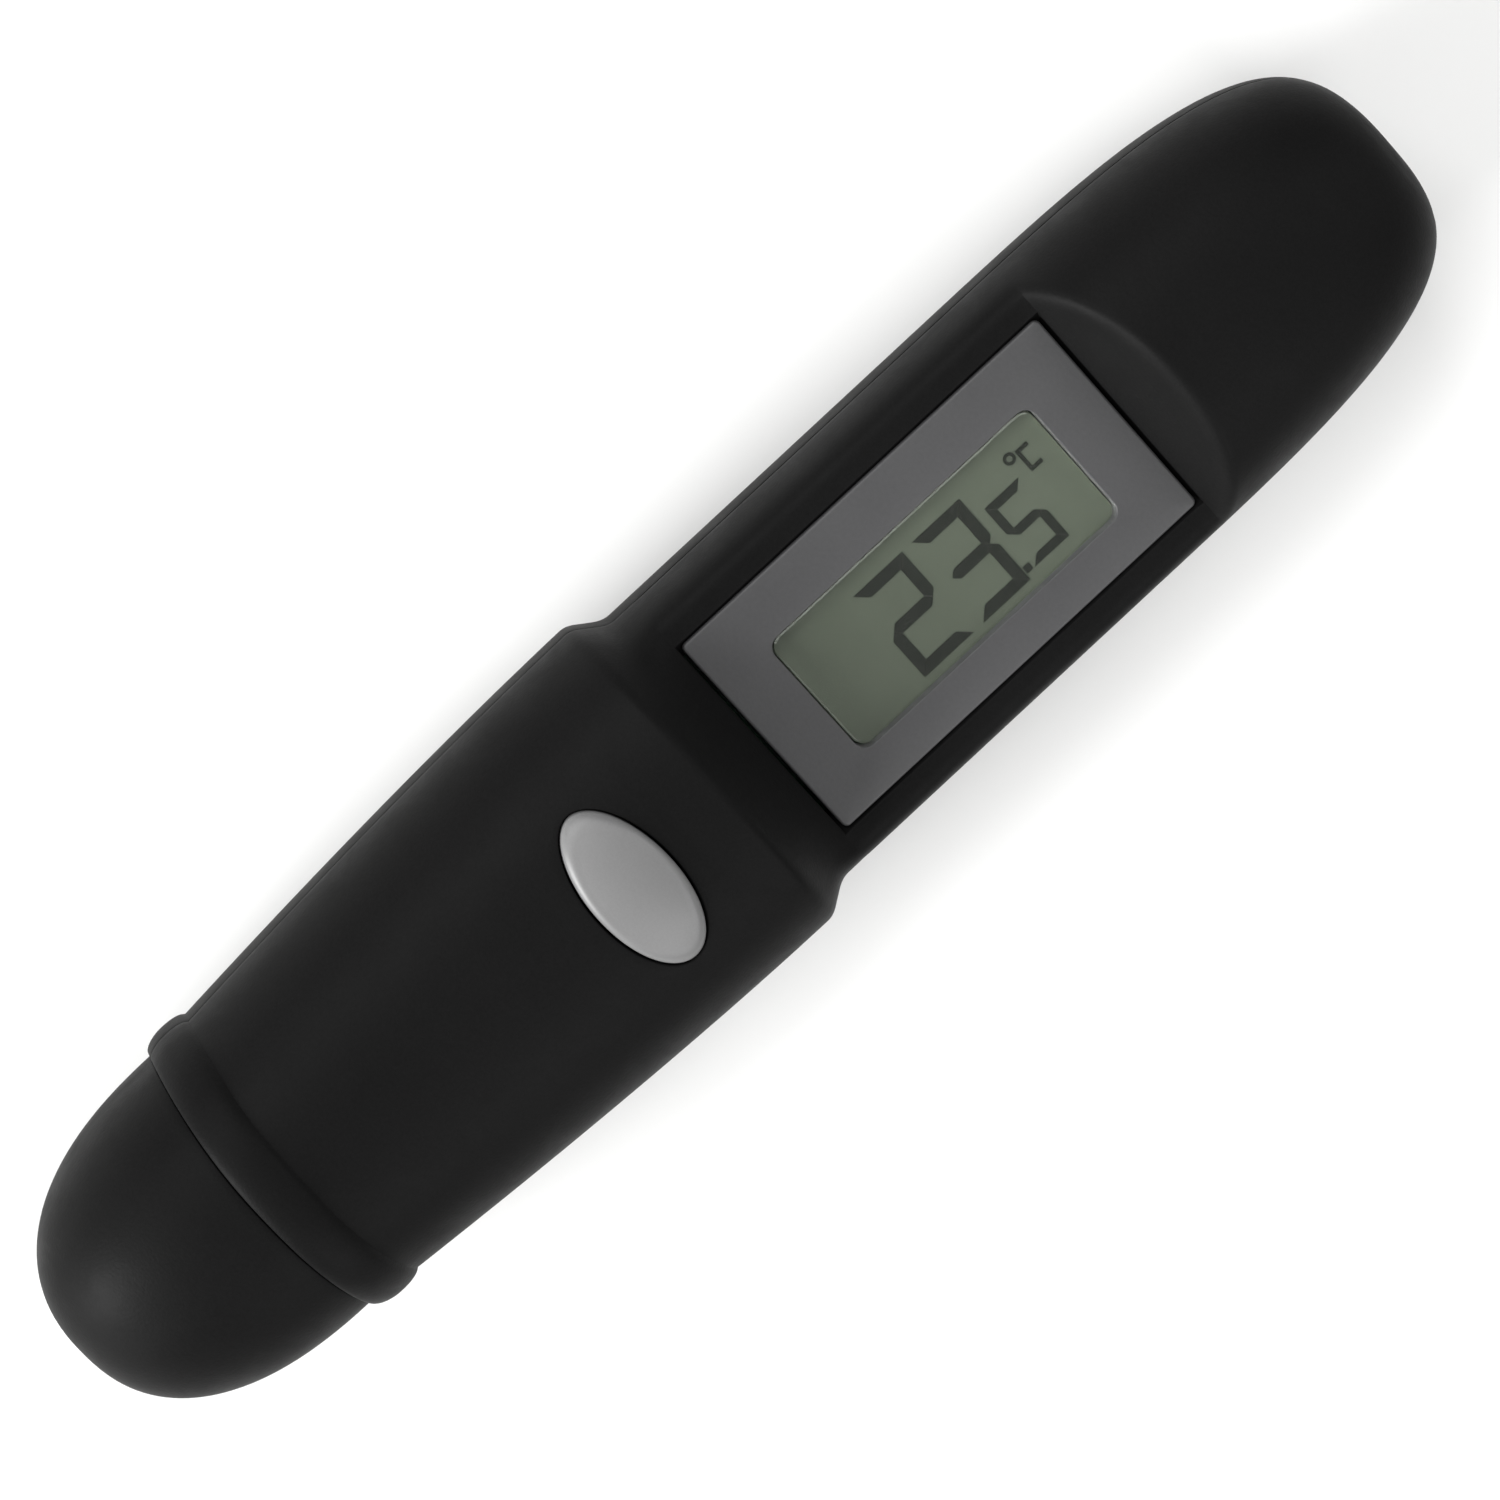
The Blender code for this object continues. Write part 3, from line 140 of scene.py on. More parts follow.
def half_width(y):
    """Half the pen's width at y."""
    return stepped(y, TAIL_WIDTH, COLLAR_WIDTH, HEAD_WIDTH, SLEEVE_POWER) * dome_share(y)


def front_height(y):
    """Height of the front over the middle plane at y, along the crest and without the bay."""
    return stepped(y, TAIL_HEIGHT, COLLAR_HEIGHT, HEAD_HEIGHT, 1.0) * dome_share(y)


def bay(y, height, inset):
    """A height of the front with the display bay taken out: a flat floor, and a slope to the head."""
    past = max(y - PANEL_HEAD, 0.0)
    floor = SADDLE - inset + past * (HEAD_HEIGHT - SADDLE) / SCOOP_RUN
    return soft_min(height, floor, BAY_EDGE - min(BAY_EDGE_LOSS[0] * past, BAY_EDGE_LOSS[1]))


def front_surface(y, upward, inset=0.0):
    """Height of the front at y, where upward is the share of the full height in the round section."""
    if y > PANEL_TAIL:
        return bay(y, (front_height(y) - inset * dome_share(y)) * upward, inset)
    crest = (stepped(min(y, COLLAR), TAIL_HEIGHT, COLLAR_HEIGHT, COLLAR_HEIGHT, 1.0) - inset) * upward
    share = (y - COLLAR) / (PANEL_TAIL - COLLAR)
    foot = bay(PANEL_TAIL, (HEAD_HEIGHT - inset) * upward, inset)
    top = (COLLAR_HEIGHT - inset) * upward
    return soft_min(crest, top + (foot - top) * share, CREST)


def crown(x, y):
    """Height of the front over the middle plane at (x, y), without the bay."""
    share = min(abs(x) / half_width(y), 1.0)
    return front_height(y) * (1.0 - share ** SECTION_POWER) ** (1.0 / SECTION_POWER)


def ring_swell(y, bow_share):
    """Height of the round grip ring, which rises abruptly at the cap joint and falls a little softer."""
    share = (y - JOINT + RING_BOW * bow_share) / RING_LENGTH
    if share <= 0.0:
        return 0.0
    offset = min((share - RING_TOP) / (RING_TOP if share < RING_TOP else RING_FALL), 1.0)
    bead = RING_HEIGHT * math.sqrt(1.0 - offset ** 2)
    return bead if share < RING_TOP else soft_max(bead, 0.0, RING_BLEND) - RING_SINK * offset


def outer_point(angle, row, back):
    """A point of the outside: angle goes round the section, row is the place along the pen."""
    bow_share = math.sin(angle) ** 2
    fade = min(1.0, max(0.0, (BOW_END - row) / (BOW_END - JOINT - RING_LENGTH)))
    y = row - RING_BOW * bow_share * fade * fade * (3 - 2 * fade)
    width = half_width(y)
    across = math.copysign(abs(math.cos(angle)) ** (2 / SECTION_POWER), math.cos(angle))
    upward = abs(math.sin(angle)) ** (2 / SECTION_POWER)
    height = BACK_HEIGHT * dome_share(y) * upward if back else front_surface(y, upward)
    reach = max(math.hypot(width * across, height), MM)
    grown = 1.0 + ring_swell(y, bow_share) / reach
    x = width * across * grown
    height = SEAM + EDGE + height * grown * (MID - SEAM - EDGE) / MID
    if back:
        return Vector((x, y, MID - soft_min(height, MID, FLAT_EDGE)))
    return Vector((x, y, MID + height))


def inner_point(point, back):
    """The point of the inner wall behind a point of the outside."""
    x, y, height = point.x, point.y, point.z - MID
    if y < JOINT + MOUTH_DEPTH:
        reach = math.hypot(x, height)
        return Vector((x * MOUTH_RADIUS / reach, y, MID + height * MOUTH_RADIUS / reach))
    flank = 1.0 - WALL / half_width(min(y, DOME))
    share = min(abs(x) / half_width(y), 1.0)
    upward = (1.0 - share ** SECTION_POWER) ** (1.0 / SECTION_POWER)
    if back:
        height = -soft_min((BACK_HEIGHT - WALL) * dome_share(y) * upward, MID - WALL, FLAT_EDGE)
    else:
        height = front_surface(y, upward, WALL)
    past = max(y - DOME, 0.0)
    y = min(y, DOME) + past * (NOSE_TIP - WALL - DOME) / (NOSE_TIP - DOME)
    return Vector((x * flank, y, MID + height))


def spread(start, end, step):
    """Even places from start up to, but not including, end, at most one step apart."""
    count = max(1, math.ceil((end - start) / step))
    return [start + (end - start) * number / count for number in range(count)]


def case_rows(back):
    """Places of the cross-sections: close together on the ring, the collar and the bay's slopes."""
    coarse = 0.5 * MM
    ring_end = JOINT + 1.4 * RING_LENGTH
    collar_start, collar_end = COLLAR - 0.8 * MM, COLLAR + 2.4 * MM
    head_start = PANEL_HEAD + 4 * MM
    rows = spread(JOINT + SEAM + EDGE, ring_end, 0.08 * MM) + spread(ring_end, collar_start, coarse)
    if back:
        rows += spread(collar_start, collar_end, 0.16 * MM) + spread(collar_end, head_start, coarse)
    else:
        rows += spread(collar_start, PANEL_TAIL - EDGE, 0.1 * MM)
        rows += spread(PANEL_TAIL - EDGE, PANEL_HEAD + EDGE, coarse)
        rows += spread(PANEL_HEAD + EDGE, head_start, 0.12 * MM)
    start = math.asin((head_start - DOME) / (NOSE_TIP - DOME))
    for turn in spread(start, math.radians(75), math.radians(1.2)):
        rows.append(DOME + (NOSE_TIP - DOME) * math.sin(turn))
    return rows


def nose_point(angle, share, back, last):
    """A point of the blunt tip, between the last cross-section and the round hole for the window."""
    rim = last.copy()
    rim.z -= MID
    sign = -1.0 if back else 1.0
    height = math.sin(angle) * (NOSE_HOLE + EDGE)
    hole = Vector((math.cos(angle) * (NOSE_HOLE + EDGE), 0.0, sign * max(abs(height), SEAM + EDGE)))
    place = rim.lerp(hole, share)
    wide = abs(place.x) / HEAD_WIDTH
    tall = abs(place.z) / (BACK_HEIGHT if back else HEAD_HEIGHT)
    left = (wide ** SECTION_POWER + tall ** SECTION_POWER) ** (1 / SECTION_POWER)
    y = DOME + (NOSE_TIP - DOME) * (1.0 - min(left, 1.0) ** HEAD_POWER) ** (1 / HEAD_POWER)
    return Vector((place.x, max(y, last.y), MID + place.z))


def band(shape, low, high):
    """A row of faces between two closed rings of as many points."""
    for here in range(len(low)):
        after = (here + 1) % len(low)
        shape.faces.new((low[here], low[after], high[after], high[here]))


def round_hole(shape, grid, centre_y, radii, field, height_at):
    """Replace the grid's faces in a field by rings that run from its border to the hole's ellipse."""
    inside = [[vert.is_valid and abs(vert.co.x) <= field[0] and abs(vert.co.y - centre_y) <= field[1]
               for vert in row] for row in grid]
    rows = [number for number, row in enumerate(inside) if any(row)]
    columns = [number for number, hit in enumerate(inside[rows[len(rows) // 2]]) if hit]
    low, high = rows[0], rows[-1]
    left, right = columns[0], columns[-1]
    border = [grid[low][column] for column in range(left, right)]
    border += [grid[row][right] for row in range(low, high)]
    border += [grid[high][column] for column in range(right, left, -1)]
    border += [grid[row][left] for row in range(high, low, -1)]
    inner = {grid[row][column] for row in range(low + 1, high) for column in range(left + 1, right)}
    bmesh.ops.delete(shape, geom=list(inner), context="VERTS")
    rings = [border]
    count = 5
    for step in range(1, count + 1):
        ring = []
        for vert in border:
            turn = math.atan2((vert.co.y - centre_y) / radii[1], vert.co.x / radii[0])
            x = vert.co.x + (radii[0] * math.cos(turn) - vert.co.x) * step / count
            y = vert.co.y + (centre_y + radii[1] * math.sin(turn) - vert.co.y) * step / count
            ring.append(shape.verts.new((x, y, height_at(x, y))))
        rings.append(ring)
    for outer, nearer in zip(rings, rings[1:]):
        band(shape, outer, nearer)


def quarter(count, first=1):
    """Even angles up to a right angle, for a rounded edge or a dome."""
    return [math.pi / 2 * step / count for step in range(first, count + 1)]


def on_axis(y):
    """The point of the pen's long axis at y."""
    return Vector((0.0, y, MID))


def give_wall(shape, back):
    """Close an open outside to a wall: rounded edges along every rim, and an inner face."""
    bmesh.ops.recalc_face_normals(shape, faces=shape.faces)
    outward = sum(face.normal.dot(face.calc_center_median() - on_axis(face.calc_center_median().y))
                  for face in shape.faces)
    if outward < 0:
        bmesh.ops.reverse_faces(shape, faces=shape.faces)
    shape.normal_update()
    outside = list(shape.faces)
    rim = [edge for edge in shape.edges if len(edge.link_faces) == 1]
    away = {}
    for edge in rim:
        face = edge.link_faces[0]
        along = (edge.verts[1].co - edge.verts[0].co).normalized()
        out = along.cross(face.normal)
        if out.dot(face.calc_center_median() - edge.verts[0].co) > 0:
            out = -out
        for vert in edge.verts:
            away[vert] = away.get(vert, Vector()) + out
    inner = {}
    for vert in list(shape.verts):
        place = inner_point(vert.co, back)
        if vert in away:
            place += away[vert].normalized() * EDGE
        inner[vert] = place
    chains = {}
    for vert, out in away.items():
        out = out.normalized() * EDGE
        down = -vert.normal * EDGE
        chain = [vert]
        for tilt in quarter(3):
            chain.append(shape.verts.new(vert.co + out * math.sin(tilt) + down * (1 - math.cos(tilt))))
        chains[vert] = chain
    made = {vert: shape.verts.new(place) for vert, place in inner.items()}
    for face in outside:
        shape.faces.new([made[vert] for vert in reversed(face.verts)])
    for edge in rim:
        loop = edge.link_loops[0]
        first, second = loop.vert, loop.link_loop_next.vert
        one, two = chains[first] + [made[first]], chains[second] + [made[second]]
        for number in range(len(one) - 1):
            shape.faces.new((two[number], one[number], one[number + 1], two[number + 1]))


def to_piece(shape, name, material, sharp=35.0):
    """Finish a shape as a piece: smooth shading that stays crisp at hard edges, and one material."""
    mesh = bpy.data.meshes.new(name)
    shape.to_mesh(mesh)
    shape.free()
    mesh.shade_smooth()
    mesh.set_sharp_from_angle(angle=math.radians(sharp))
    mesh.materials.append(material)
    piece = bpy.data.objects.new(name, mesh)
    bpy.context.scene.collection.objects.link(piece)
    return piece


def linear(code):
    """A six-digit sRGB colour as linear RGBA."""
    parts = [int(code[start:start + 2], 16) / 255 for start in (0, 2, 4)]
    return (*(part / 12.92 if part <= 0.04045 else ((part + 0.055) / 1.055) ** 2.4 for part in parts), 1.0)


def add(tree, kind, links=None, **settings):
    """Add a node; links fill its inputs by name or number with a value or with another node's output."""
    made = tree.nodes.new(kind)
    for key, value in settings.items():
        setattr(made, key, value)
    for key, value in (links or {}).items():
        if isinstance(value, bpy.types.NodeSocket):
            tree.links.new(value, made.inputs[key])
        else:
            made.inputs[key].default_value = value
    return made


def new_material(name):
    """An empty node material, with the object coordinates that every pattern uses."""
    material = bpy.data.materials.new(name)
    material.use_nodes = True
    tree = material.node_tree
    tree.nodes.clear()
    place = add(tree, "ShaderNodeTexCoord").outputs["Object"]
    return material, tree, place


def moulded(name, dark, light, grain, relief, roughness, ior=1.53, specular=0.5):
    """Injection-moulded plastic: even mould grain, slow change of shade, and a little handling shine."""
    material, tree, place = new_material(name)
    fine = add(tree, "ShaderNodeTexNoise", {"Vector": place, "Scale": 1 / grain, "Detail": 2.0,
                                            "Roughness": 0.55})
    cloud = add(tree, "ShaderNodeTexNoise", {"Vector": place, "Scale": 1 / (9 * MM), "Detail": 3.0})
    wiped = add(tree, "ShaderNodeTexNoise", {"Vector": place, "Scale": 1 / (2.4 * MM), "Detail": 4.0,
                                             "Roughness": 0.7, "Distortion": 0.6})
    shade = add(tree, "ShaderNodeMath", {0: fine.outputs["Fac"], 1: cloud.outputs["Fac"]}, operation="ADD")
    share = add(tree, "ShaderNodeMapRange", {"Value": shade.outputs[0], "From Min": 0.6, "From Max": 1.4})
    colour = add(tree, "ShaderNodeMix", {"Factor": share.outputs[0], "A": linear(dark), "B": linear(light)},
                 data_type="RGBA")
    gloss = add(tree, "ShaderNodeMapRange", {"Value": wiped.outputs["Fac"], "From Min": 0.3, "From Max": 0.7,
                                             "To Min": roughness - 0.05, "To Max": roughness + 0.05})
    bump = add(tree, "ShaderNodeBump", {"Height": fine.outputs["Fac"], "Strength": 1.0, "Distance": relief})
    shader = add(tree, "ShaderNodeBsdfPrincipled",
                 {"Base Color": colour.outputs["Result"], "Roughness": gloss.outputs[0],
                  "Normal": bump.outputs[0], "IOR": ior, "Specular IOR Level": specular})
    add(tree, "ShaderNodeOutputMaterial", {"Surface": shader.outputs[0]})
    return material


# Black ABS: carbon-black filled, with the broad low sheen of a spark-eroded mould of 0.15 mm grain.
black_abs = moulded("moulded_black_abs", "0f0f0f", "141414", 0.15 * MM, 0.01 * MM, 0.5, 1.53, 0.045)


def half_shell(name, back):
    """One shell: cross-sections joined to a skin with its holes, the blunt tip, and a wall behind them."""
    count = 96
    angles = [math.pi * number / count for number in range(count + 1)]
    if not back:
        edge_angle = math.acos(((PANEL_SIDE + EDGE) / HEAD_WIDTH) ** (SECTION_POWER / 2))
        near = min(range(count // 2), key=lambda number: abs(angles[number] - edge_angle))
        angles[near] = edge_angle
        angles[count - near] = math.pi - edge_angle
    rows = case_rows(back)
    shape = bmesh.new()
    grid = [[shape.verts.new(outer_point(angle, row, back)) for angle in angles] for row in rows]
    last = [vert.co.copy() for vert in grid[-1]]
    for tilt in quarter(10):
        grid.append([shape.verts.new(nose_point(angle, math.sin(tilt), back, last[number]))
                     for number, angle in enumerate(angles)])
    for number, (low, high) in enumerate(zip(grid, grid[1:])):
        opened = not back and number < len(rows) - 1 and PANEL_TAIL - 2 * EDGE < rows[number] < PANEL_HEAD
        for column in range(count):
            if opened and near <= column < count - near:
                continue
            shape.faces.new((low[column], low[column + 1], high[column + 1], high[column]))
    if back:
        for low, high in SCREWS:
            radii = (SCREW_HOLE + EDGE, SCREW_HOLE + EDGE)
            round_hole(shape, grid, (low.y + high.y) / 2, radii, SCREW_FIELD, lambda x, y: 0.0)
    else:
        radii = (BUTTON_HOLE[0] + EDGE, BUTTON_HOLE[1] + EDGE)
        round_hole(shape, grid, BUTTON_MIDDLE, radii, BUTTON_FIELD,
                   lambda x, y: MID + SEAM + EDGE + crown(x, y) * (MID - SEAM - EDGE) / MID)
    bmesh.ops.delete(shape, geom=[vert for vert in shape.verts if not vert.link_faces], context="VERTS")
    give_wall(shape, back)
    piece = to_piece(shape, name, black_abs)
    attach(piece, "case")
    return piece


front_shell = half_shell("front_shell", False)
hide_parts("front_housing")
back_shell = half_shell("back_shell", True)
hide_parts("back_housing")


# ---------------- battery cap
# The round tail of the pen: a blunt cup of the same black ABS that pulls off to free the cells.
# Its skirt plugs into the case, and it meets the grip ring in a bowed joint with broken edges.

CAP_WIDTH = CAP[1].x
CAP_HEIGHT = MID - 0.1 * MM
TAIL_POWER = 2.4
SKIRT_BORE = 6.45 * MM
BORE_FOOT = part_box("button_cell_1")[0].y - 0.3 * MM
BORE_END = TAIL_TIP + 1.6 * MM


def blunt(share, power):
    """Radius share of a blunt dome, 1 at its foot (share 0) and 0 at its tip (share 1)."""
    return (1.0 - min(max(share, 0.0), 1.0) ** power) ** (1.0 / power)


def cap_column(angle):
    """Points of the cap at one angle, from the tip over the outside and the skirt to the bore's end."""
    ahead = math.copysign(abs(math.cos(angle)) ** (2 / SECTION_POWER), math.cos(angle))
    upward = abs(math.sin(angle)) ** (2 / SECTION_POWER)
    bow = RING_BOW * math.sin(angle) ** 2
    length = JOINT - TAIL_TIP
    points = []
    for turn in quarter(40):
        base = (length - EDGE) * (1.0 - math.cos(turn))
        end = blunt(1.0 - base / length, TAIL_POWER)
        if math.sin(angle) < 0:
            height = -soft_min(BACK_HEIGHT * end * upward, MID, FLAT_EDGE)
        else:
            height = CAP_HEIGHT * end * upward
        y = TAIL_TIP + base - bow * (base / length) ** 2
        points.append(Vector((CAP_WIDTH * end * ahead, y, MID + height)))
    rim = points[-1].copy()
    inward = Vector((-rim.x, 0.0, MID - rim.z)).normalized()
    for tilt in quarter(3):
        points.append(rim + Vector((0.0, EDGE * math.sin(tilt), 0.0)) + inward * EDGE * (1 - math.cos(tilt)))
    joint = points[-1].y
    skirt = [(SKIRT_RADIUS, joint), (SKIRT_RADIUS, CAP[1].y - EDGE), (SKIRT_RADIUS - EDGE, CAP[1].y),
             (SKIRT_BORE + EDGE, CAP[1].y), (SKIRT_BORE, CAP[1].y - EDGE), (SKIRT_BORE, BORE_FOOT)]
    for turn in quarter(12)[:-1]:
        share = math.sin(turn)
        skirt.append((SKIRT_BORE * blunt(share, 2.0), BORE_FOOT - (BORE_FOOT - BORE_END) * share))
    points += [Vector((radius * -inward.x, y, MID - radius * inward.z)) for radius, y in skirt]
    return points


def skin(columns, tips=(None, None)):
    """A closed shape from columns of points side by side, with a tip point at either end, or a ring."""
    shape = bmesh.new()
    rows = [[shape.verts.new(point) for point in row] for row in zip(*columns)]
    if tips[0] is None:
        rows.append(rows[0])
    for low, high in zip(rows, rows[1:]):
        band(shape, low, high)
    for row, tip in ((rows[0], tips[0]), (rows[-1], tips[1])):
        if tip is not None:
            end = shape.verts.new(tip)
            for here in range(len(row)):
                shape.faces.new((row[here], row[(here + 1) % len(row)], end))
    bmesh.ops.recalc_face_normals(shape, faces=shape.faces)
    return shape


cap_columns = [cap_column(2 * math.pi * number / 160) for number in range(160)]
cap_cup = to_piece(skin(cap_columns, (on_axis(TAIL_TIP), on_axis(BORE_END))), "cap_cup", black_abs)
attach(cap_cup, "tail_cap")
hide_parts("battery_cap")


# ---------------- push button
# A light grey ABS button that fills its oval hole. Its top follows the case's crown and swells a
# little over it, with a rounded edge. Its mould is finer than the case's, so it has a satin sheen.

BUTTON_RADII = (4.5 * MM, 2.2 * MM)
BUTTON_RISE = BUTTON[1].z - MID - crown(0.0, BUTTON_MIDDLE)
BUTTON_EDGE = 0.4 * MM
BUTTON_FALL = 0.55
BUTTON_SIDE = 2.2 * MM
button_abs = moulded("moulded_grey_abs", "6c6c6c", "737373", 0.11 * MM, 0.004 * MM, 0.42)


def button_column(angle):
    """Points of the button at one angle, from the middle of its top to its rim and down the side."""
    def at(share, rise, drop=0.0):
        x = BUTTON_RADII[0] * share * math.cos(angle)
        y = BUTTON_RADII[1] * share * math.sin(angle)
        return Vector((x, BUTTON_MIDDLE + y, MID + crown(x, BUTTON_MIDDLE) + rise - drop))

    edge_share = 1.0 - BUTTON_EDGE / BUTTON_RADII[1]
    points = [at(edge_share * step / 10, BUTTON_RISE * (1.0 - BUTTON_FALL * (edge_share * step / 10) ** 2))
              for step in range(1, 11)]
    rim_rise = BUTTON_RISE * (1.0 - BUTTON_FALL * edge_share ** 2)
    for tilt in quarter(7):
        share = edge_share + (1.0 - edge_share) * math.sin(tilt)
        points.append(at(share, rim_rise, BUTTON_EDGE * (1 - math.cos(tilt))))
    points.append(at(1.0, rim_rise, BUTTON_SIDE))
    return points


button_columns = [button_column(2 * math.pi * number / 120) for number in range(120)]
button_top = Vector((0.0, BUTTON_MIDDLE, BUTTON[1].z))
button_foot = Vector((0.0, BUTTON_MIDDLE, button_columns[0][-1].z))
push_button = to_piece(skin(button_columns, (button_top, button_foot)), "push_button", button_abs)
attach(push_button, "button")
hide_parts("button_cap")


# ---------------- display panel
# A flat frame of dark grey ABS with a satin paint, dropped into the bay from inside. Its edges and
# the window's edge are rounded, so that they catch a thin line of light.

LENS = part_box("display_lens")
WINDOW_GAP = 0.1 * MM
WINDOW_MIDDLE = ((LENS[0].x + LENS[1].x) / 2, (LENS[0].y + LENS[1].y) / 2)
PANE_SIZE = (LENS[1].x - LENS[0].x, LENS[1].y - LENS[0].y)
WINDOW_SIZE = [side + 2 * WINDOW_GAP for side in PANE_SIZE]
WINDOW_CORNER = 0.65 * MM
PANEL_GAP = 0.3 * MM
PANEL_SIZE = (2 * PANEL_SIDE - PANEL_GAP, PANEL_HEAD - PANEL_TAIL - PANEL_GAP)
PANEL_CORNER = 0.3 * MM
PANEL_EDGE = 0.14 * MM
panel_abs = moulded("satin_grey_panel", "3a3a3b", "414142", 0.2 * MM, 0.006 * MM, 0.5)


def corner_points(middle, size, corner, z, inset=0.0):
    """Corners of a rounded rectangle, each an arc of seven points, moved in by an inset."""
    radius = max(corner - inset, 0.02 * MM)
    points = []
    for number, sides in enumerate(((1, 1), (-1, 1), (-1, -1), (1, -1))):
        x = middle[0] + sides[0] * (size[0] / 2 - inset - radius)
        y = middle[1] + sides[1] * (size[1] / 2 - inset - radius)
        for step in range(7):
            turn = math.pi / 2 * (number + step / 6)
            points.append(Vector((x + radius * math.cos(turn), y + radius * math.sin(turn), z)))
    return points


def rounded_rim(middle, size, corner, top, edge, growing):
    """Rows over a rounded edge, from the side up to the top face, or for a hole the other way."""
    rows = []
    for tilt in quarter(4, 0):
        inset = edge * (1 - math.cos(tilt)) * (-1 if growing else 1)
        rows.append(corner_points(middle, size, corner, top - edge * (1 - math.sin(tilt)), inset))
    return rows[::-1] if growing else rows


panel_middle = (0.0, (PANEL_TAIL + PANEL_HEAD) / 2)
panel_foot = PANEL[0].z
panel_rows = [corner_points(panel_middle, PANEL_SIZE, PANEL_CORNER, panel_foot)]
panel_rows += rounded_rim(panel_middle, PANEL_SIZE, PANEL_CORNER, PANEL[1].z, PANEL_EDGE, False)
panel_rows += rounded_rim(WINDOW_MIDDLE, WINDOW_SIZE, WINDOW_CORNER, PANEL[1].z, PANEL_EDGE / 2, True)
panel_rows.append(corner_points(WINDOW_MIDDLE, WINDOW_SIZE, WINDOW_CORNER, panel_foot))
panel_frame = to_piece(skin(zip(*panel_rows)), "panel_frame", panel_abs)
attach(panel_frame, "case")
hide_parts("display_panel")


# ---------------- display window
# A pressed-in pane of clear acrylic with a fine bevel round its top, clear enough to read through and
# a little smeared by handling. Shadow rays pass straight through it, so that the display gets light.

PANE_SHEET = 0.5 * MM
PANE_BEVEL = 0.08 * MM

clear_acrylic, tree, place = new_material("clear_acrylic")
smear = add(tree, "ShaderNodeTexNoise", {"Vector": place, "Scale": 1 / (3 * MM), "Detail": 3.0})
haze = add(tree, "ShaderNodeMapRange", {"Value": smear.outputs["Fac"], "From Min": 0.35, "From Max": 0.7,
                                        "To Min": 0.04, "To Max": 0.1})
acrylic = add(tree, "ShaderNodeBsdfPrincipled", {"Base Color": linear("eef2ec"), "Roughness": haze.outputs[0],
                                                 "IOR": 1.49, "Transmission Weight": 1.0})
clear = add(tree, "ShaderNodeBsdfTransparent", {"Color": linear("eef2ec")})
lamp_ray = add(tree, "ShaderNodeLightPath").outputs["Is Shadow Ray"]
either = add(tree, "ShaderNodeMixShader", {0: lamp_ray, 1: acrylic.outputs[0], 2: clear.outputs[0]})
add(tree, "ShaderNodeOutputMaterial", {"Surface": either.outputs[0]})

pane_rows = [corner_points(WINDOW_MIDDLE, PANE_SIZE, WINDOW_CORNER, z, inset)
             for z, inset in ((LENS[1].z - PANE_SHEET, 0.0), (LENS[1].z - PANE_BEVEL, 0.0),
                              (LENS[1].z, PANE_BEVEL))]
pane_tips = [Vector((*WINDOW_MIDDLE, z)) for z in (LENS[1].z - PANE_SHEET, LENS[1].z)]
window_pane = to_piece(skin(zip(*pane_rows), pane_tips), "window_pane", clear_acrylic, 12.0)
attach(window_pane, "case")
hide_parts("display_lens")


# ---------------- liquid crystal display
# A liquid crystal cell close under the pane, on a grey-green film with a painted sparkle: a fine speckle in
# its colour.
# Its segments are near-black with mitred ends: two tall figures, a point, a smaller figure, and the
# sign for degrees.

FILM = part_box("lcd_polariser")
FILM_EDGE = 0.05 * MM
SEGMENT_FILM = 0.03 * MM
SEGMENT_LIFT = 0.005 * MM
PANE_ROOM = 0.03 * MM

reflector, tree, place = new_material("lcd_reflector_film")
# The sparkle is painted: a fine speckle of lighter and darker grains in the film's colour stands in for
# glints of light.
painted_sparkle = add(tree, "ShaderNodeTexVoronoi", {"Vector": place, "Scale": 1 / (0.12 * MM)})
cloud = add(tree, "ShaderNodeTexNoise", {"Vector": place, "Scale": 1 / (4 * MM), "Detail": 2.0})
shade = add(tree, "ShaderNodeMath", {0: painted_sparkle.outputs["Distance"], 1: cloud.outputs["Fac"]},
            operation="ADD")
share = add(tree, "ShaderNodeMapRange", {"Value": shade.outputs[0], "From Min": 0.4, "From Max": 1.4})
tone = add(tree, "ShaderNodeMix", {"Factor": share.outputs[0], "A": linear("494c45"), "B": linear("4f524b")},
           data_type="RGBA")
shader = add(tree, "ShaderNodeBsdfPrincipled", {"Base Color": tone.outputs["Result"], "Roughness": 0.55,
                                                "IOR": 1.5, "Specular IOR Level": 0.2})
add(tree, "ShaderNodeOutputMaterial", {"Surface": shader.outputs[0]})

segment_ink, tree, place = new_material("lcd_segment_ink")
cloud = add(tree, "ShaderNodeTexNoise", {"Vector": place, "Scale": 1 / (0.3 * MM), "Detail": 2.0})
tone = add(tree, "ShaderNodeMix",
           {"Factor": cloud.outputs["Fac"], "A": linear("0a0c09"), "B": linear("0e110c")}, data_type="RGBA")
shader = add(tree, "ShaderNodeBsdfPrincipled", {"Base Color": tone.outputs["Result"], "Roughness": 0.6,
                                                "Specular IOR Level": 0.2})
add(tree, "ShaderNodeOutputMaterial", {"Surface": shader.outputs[0]})

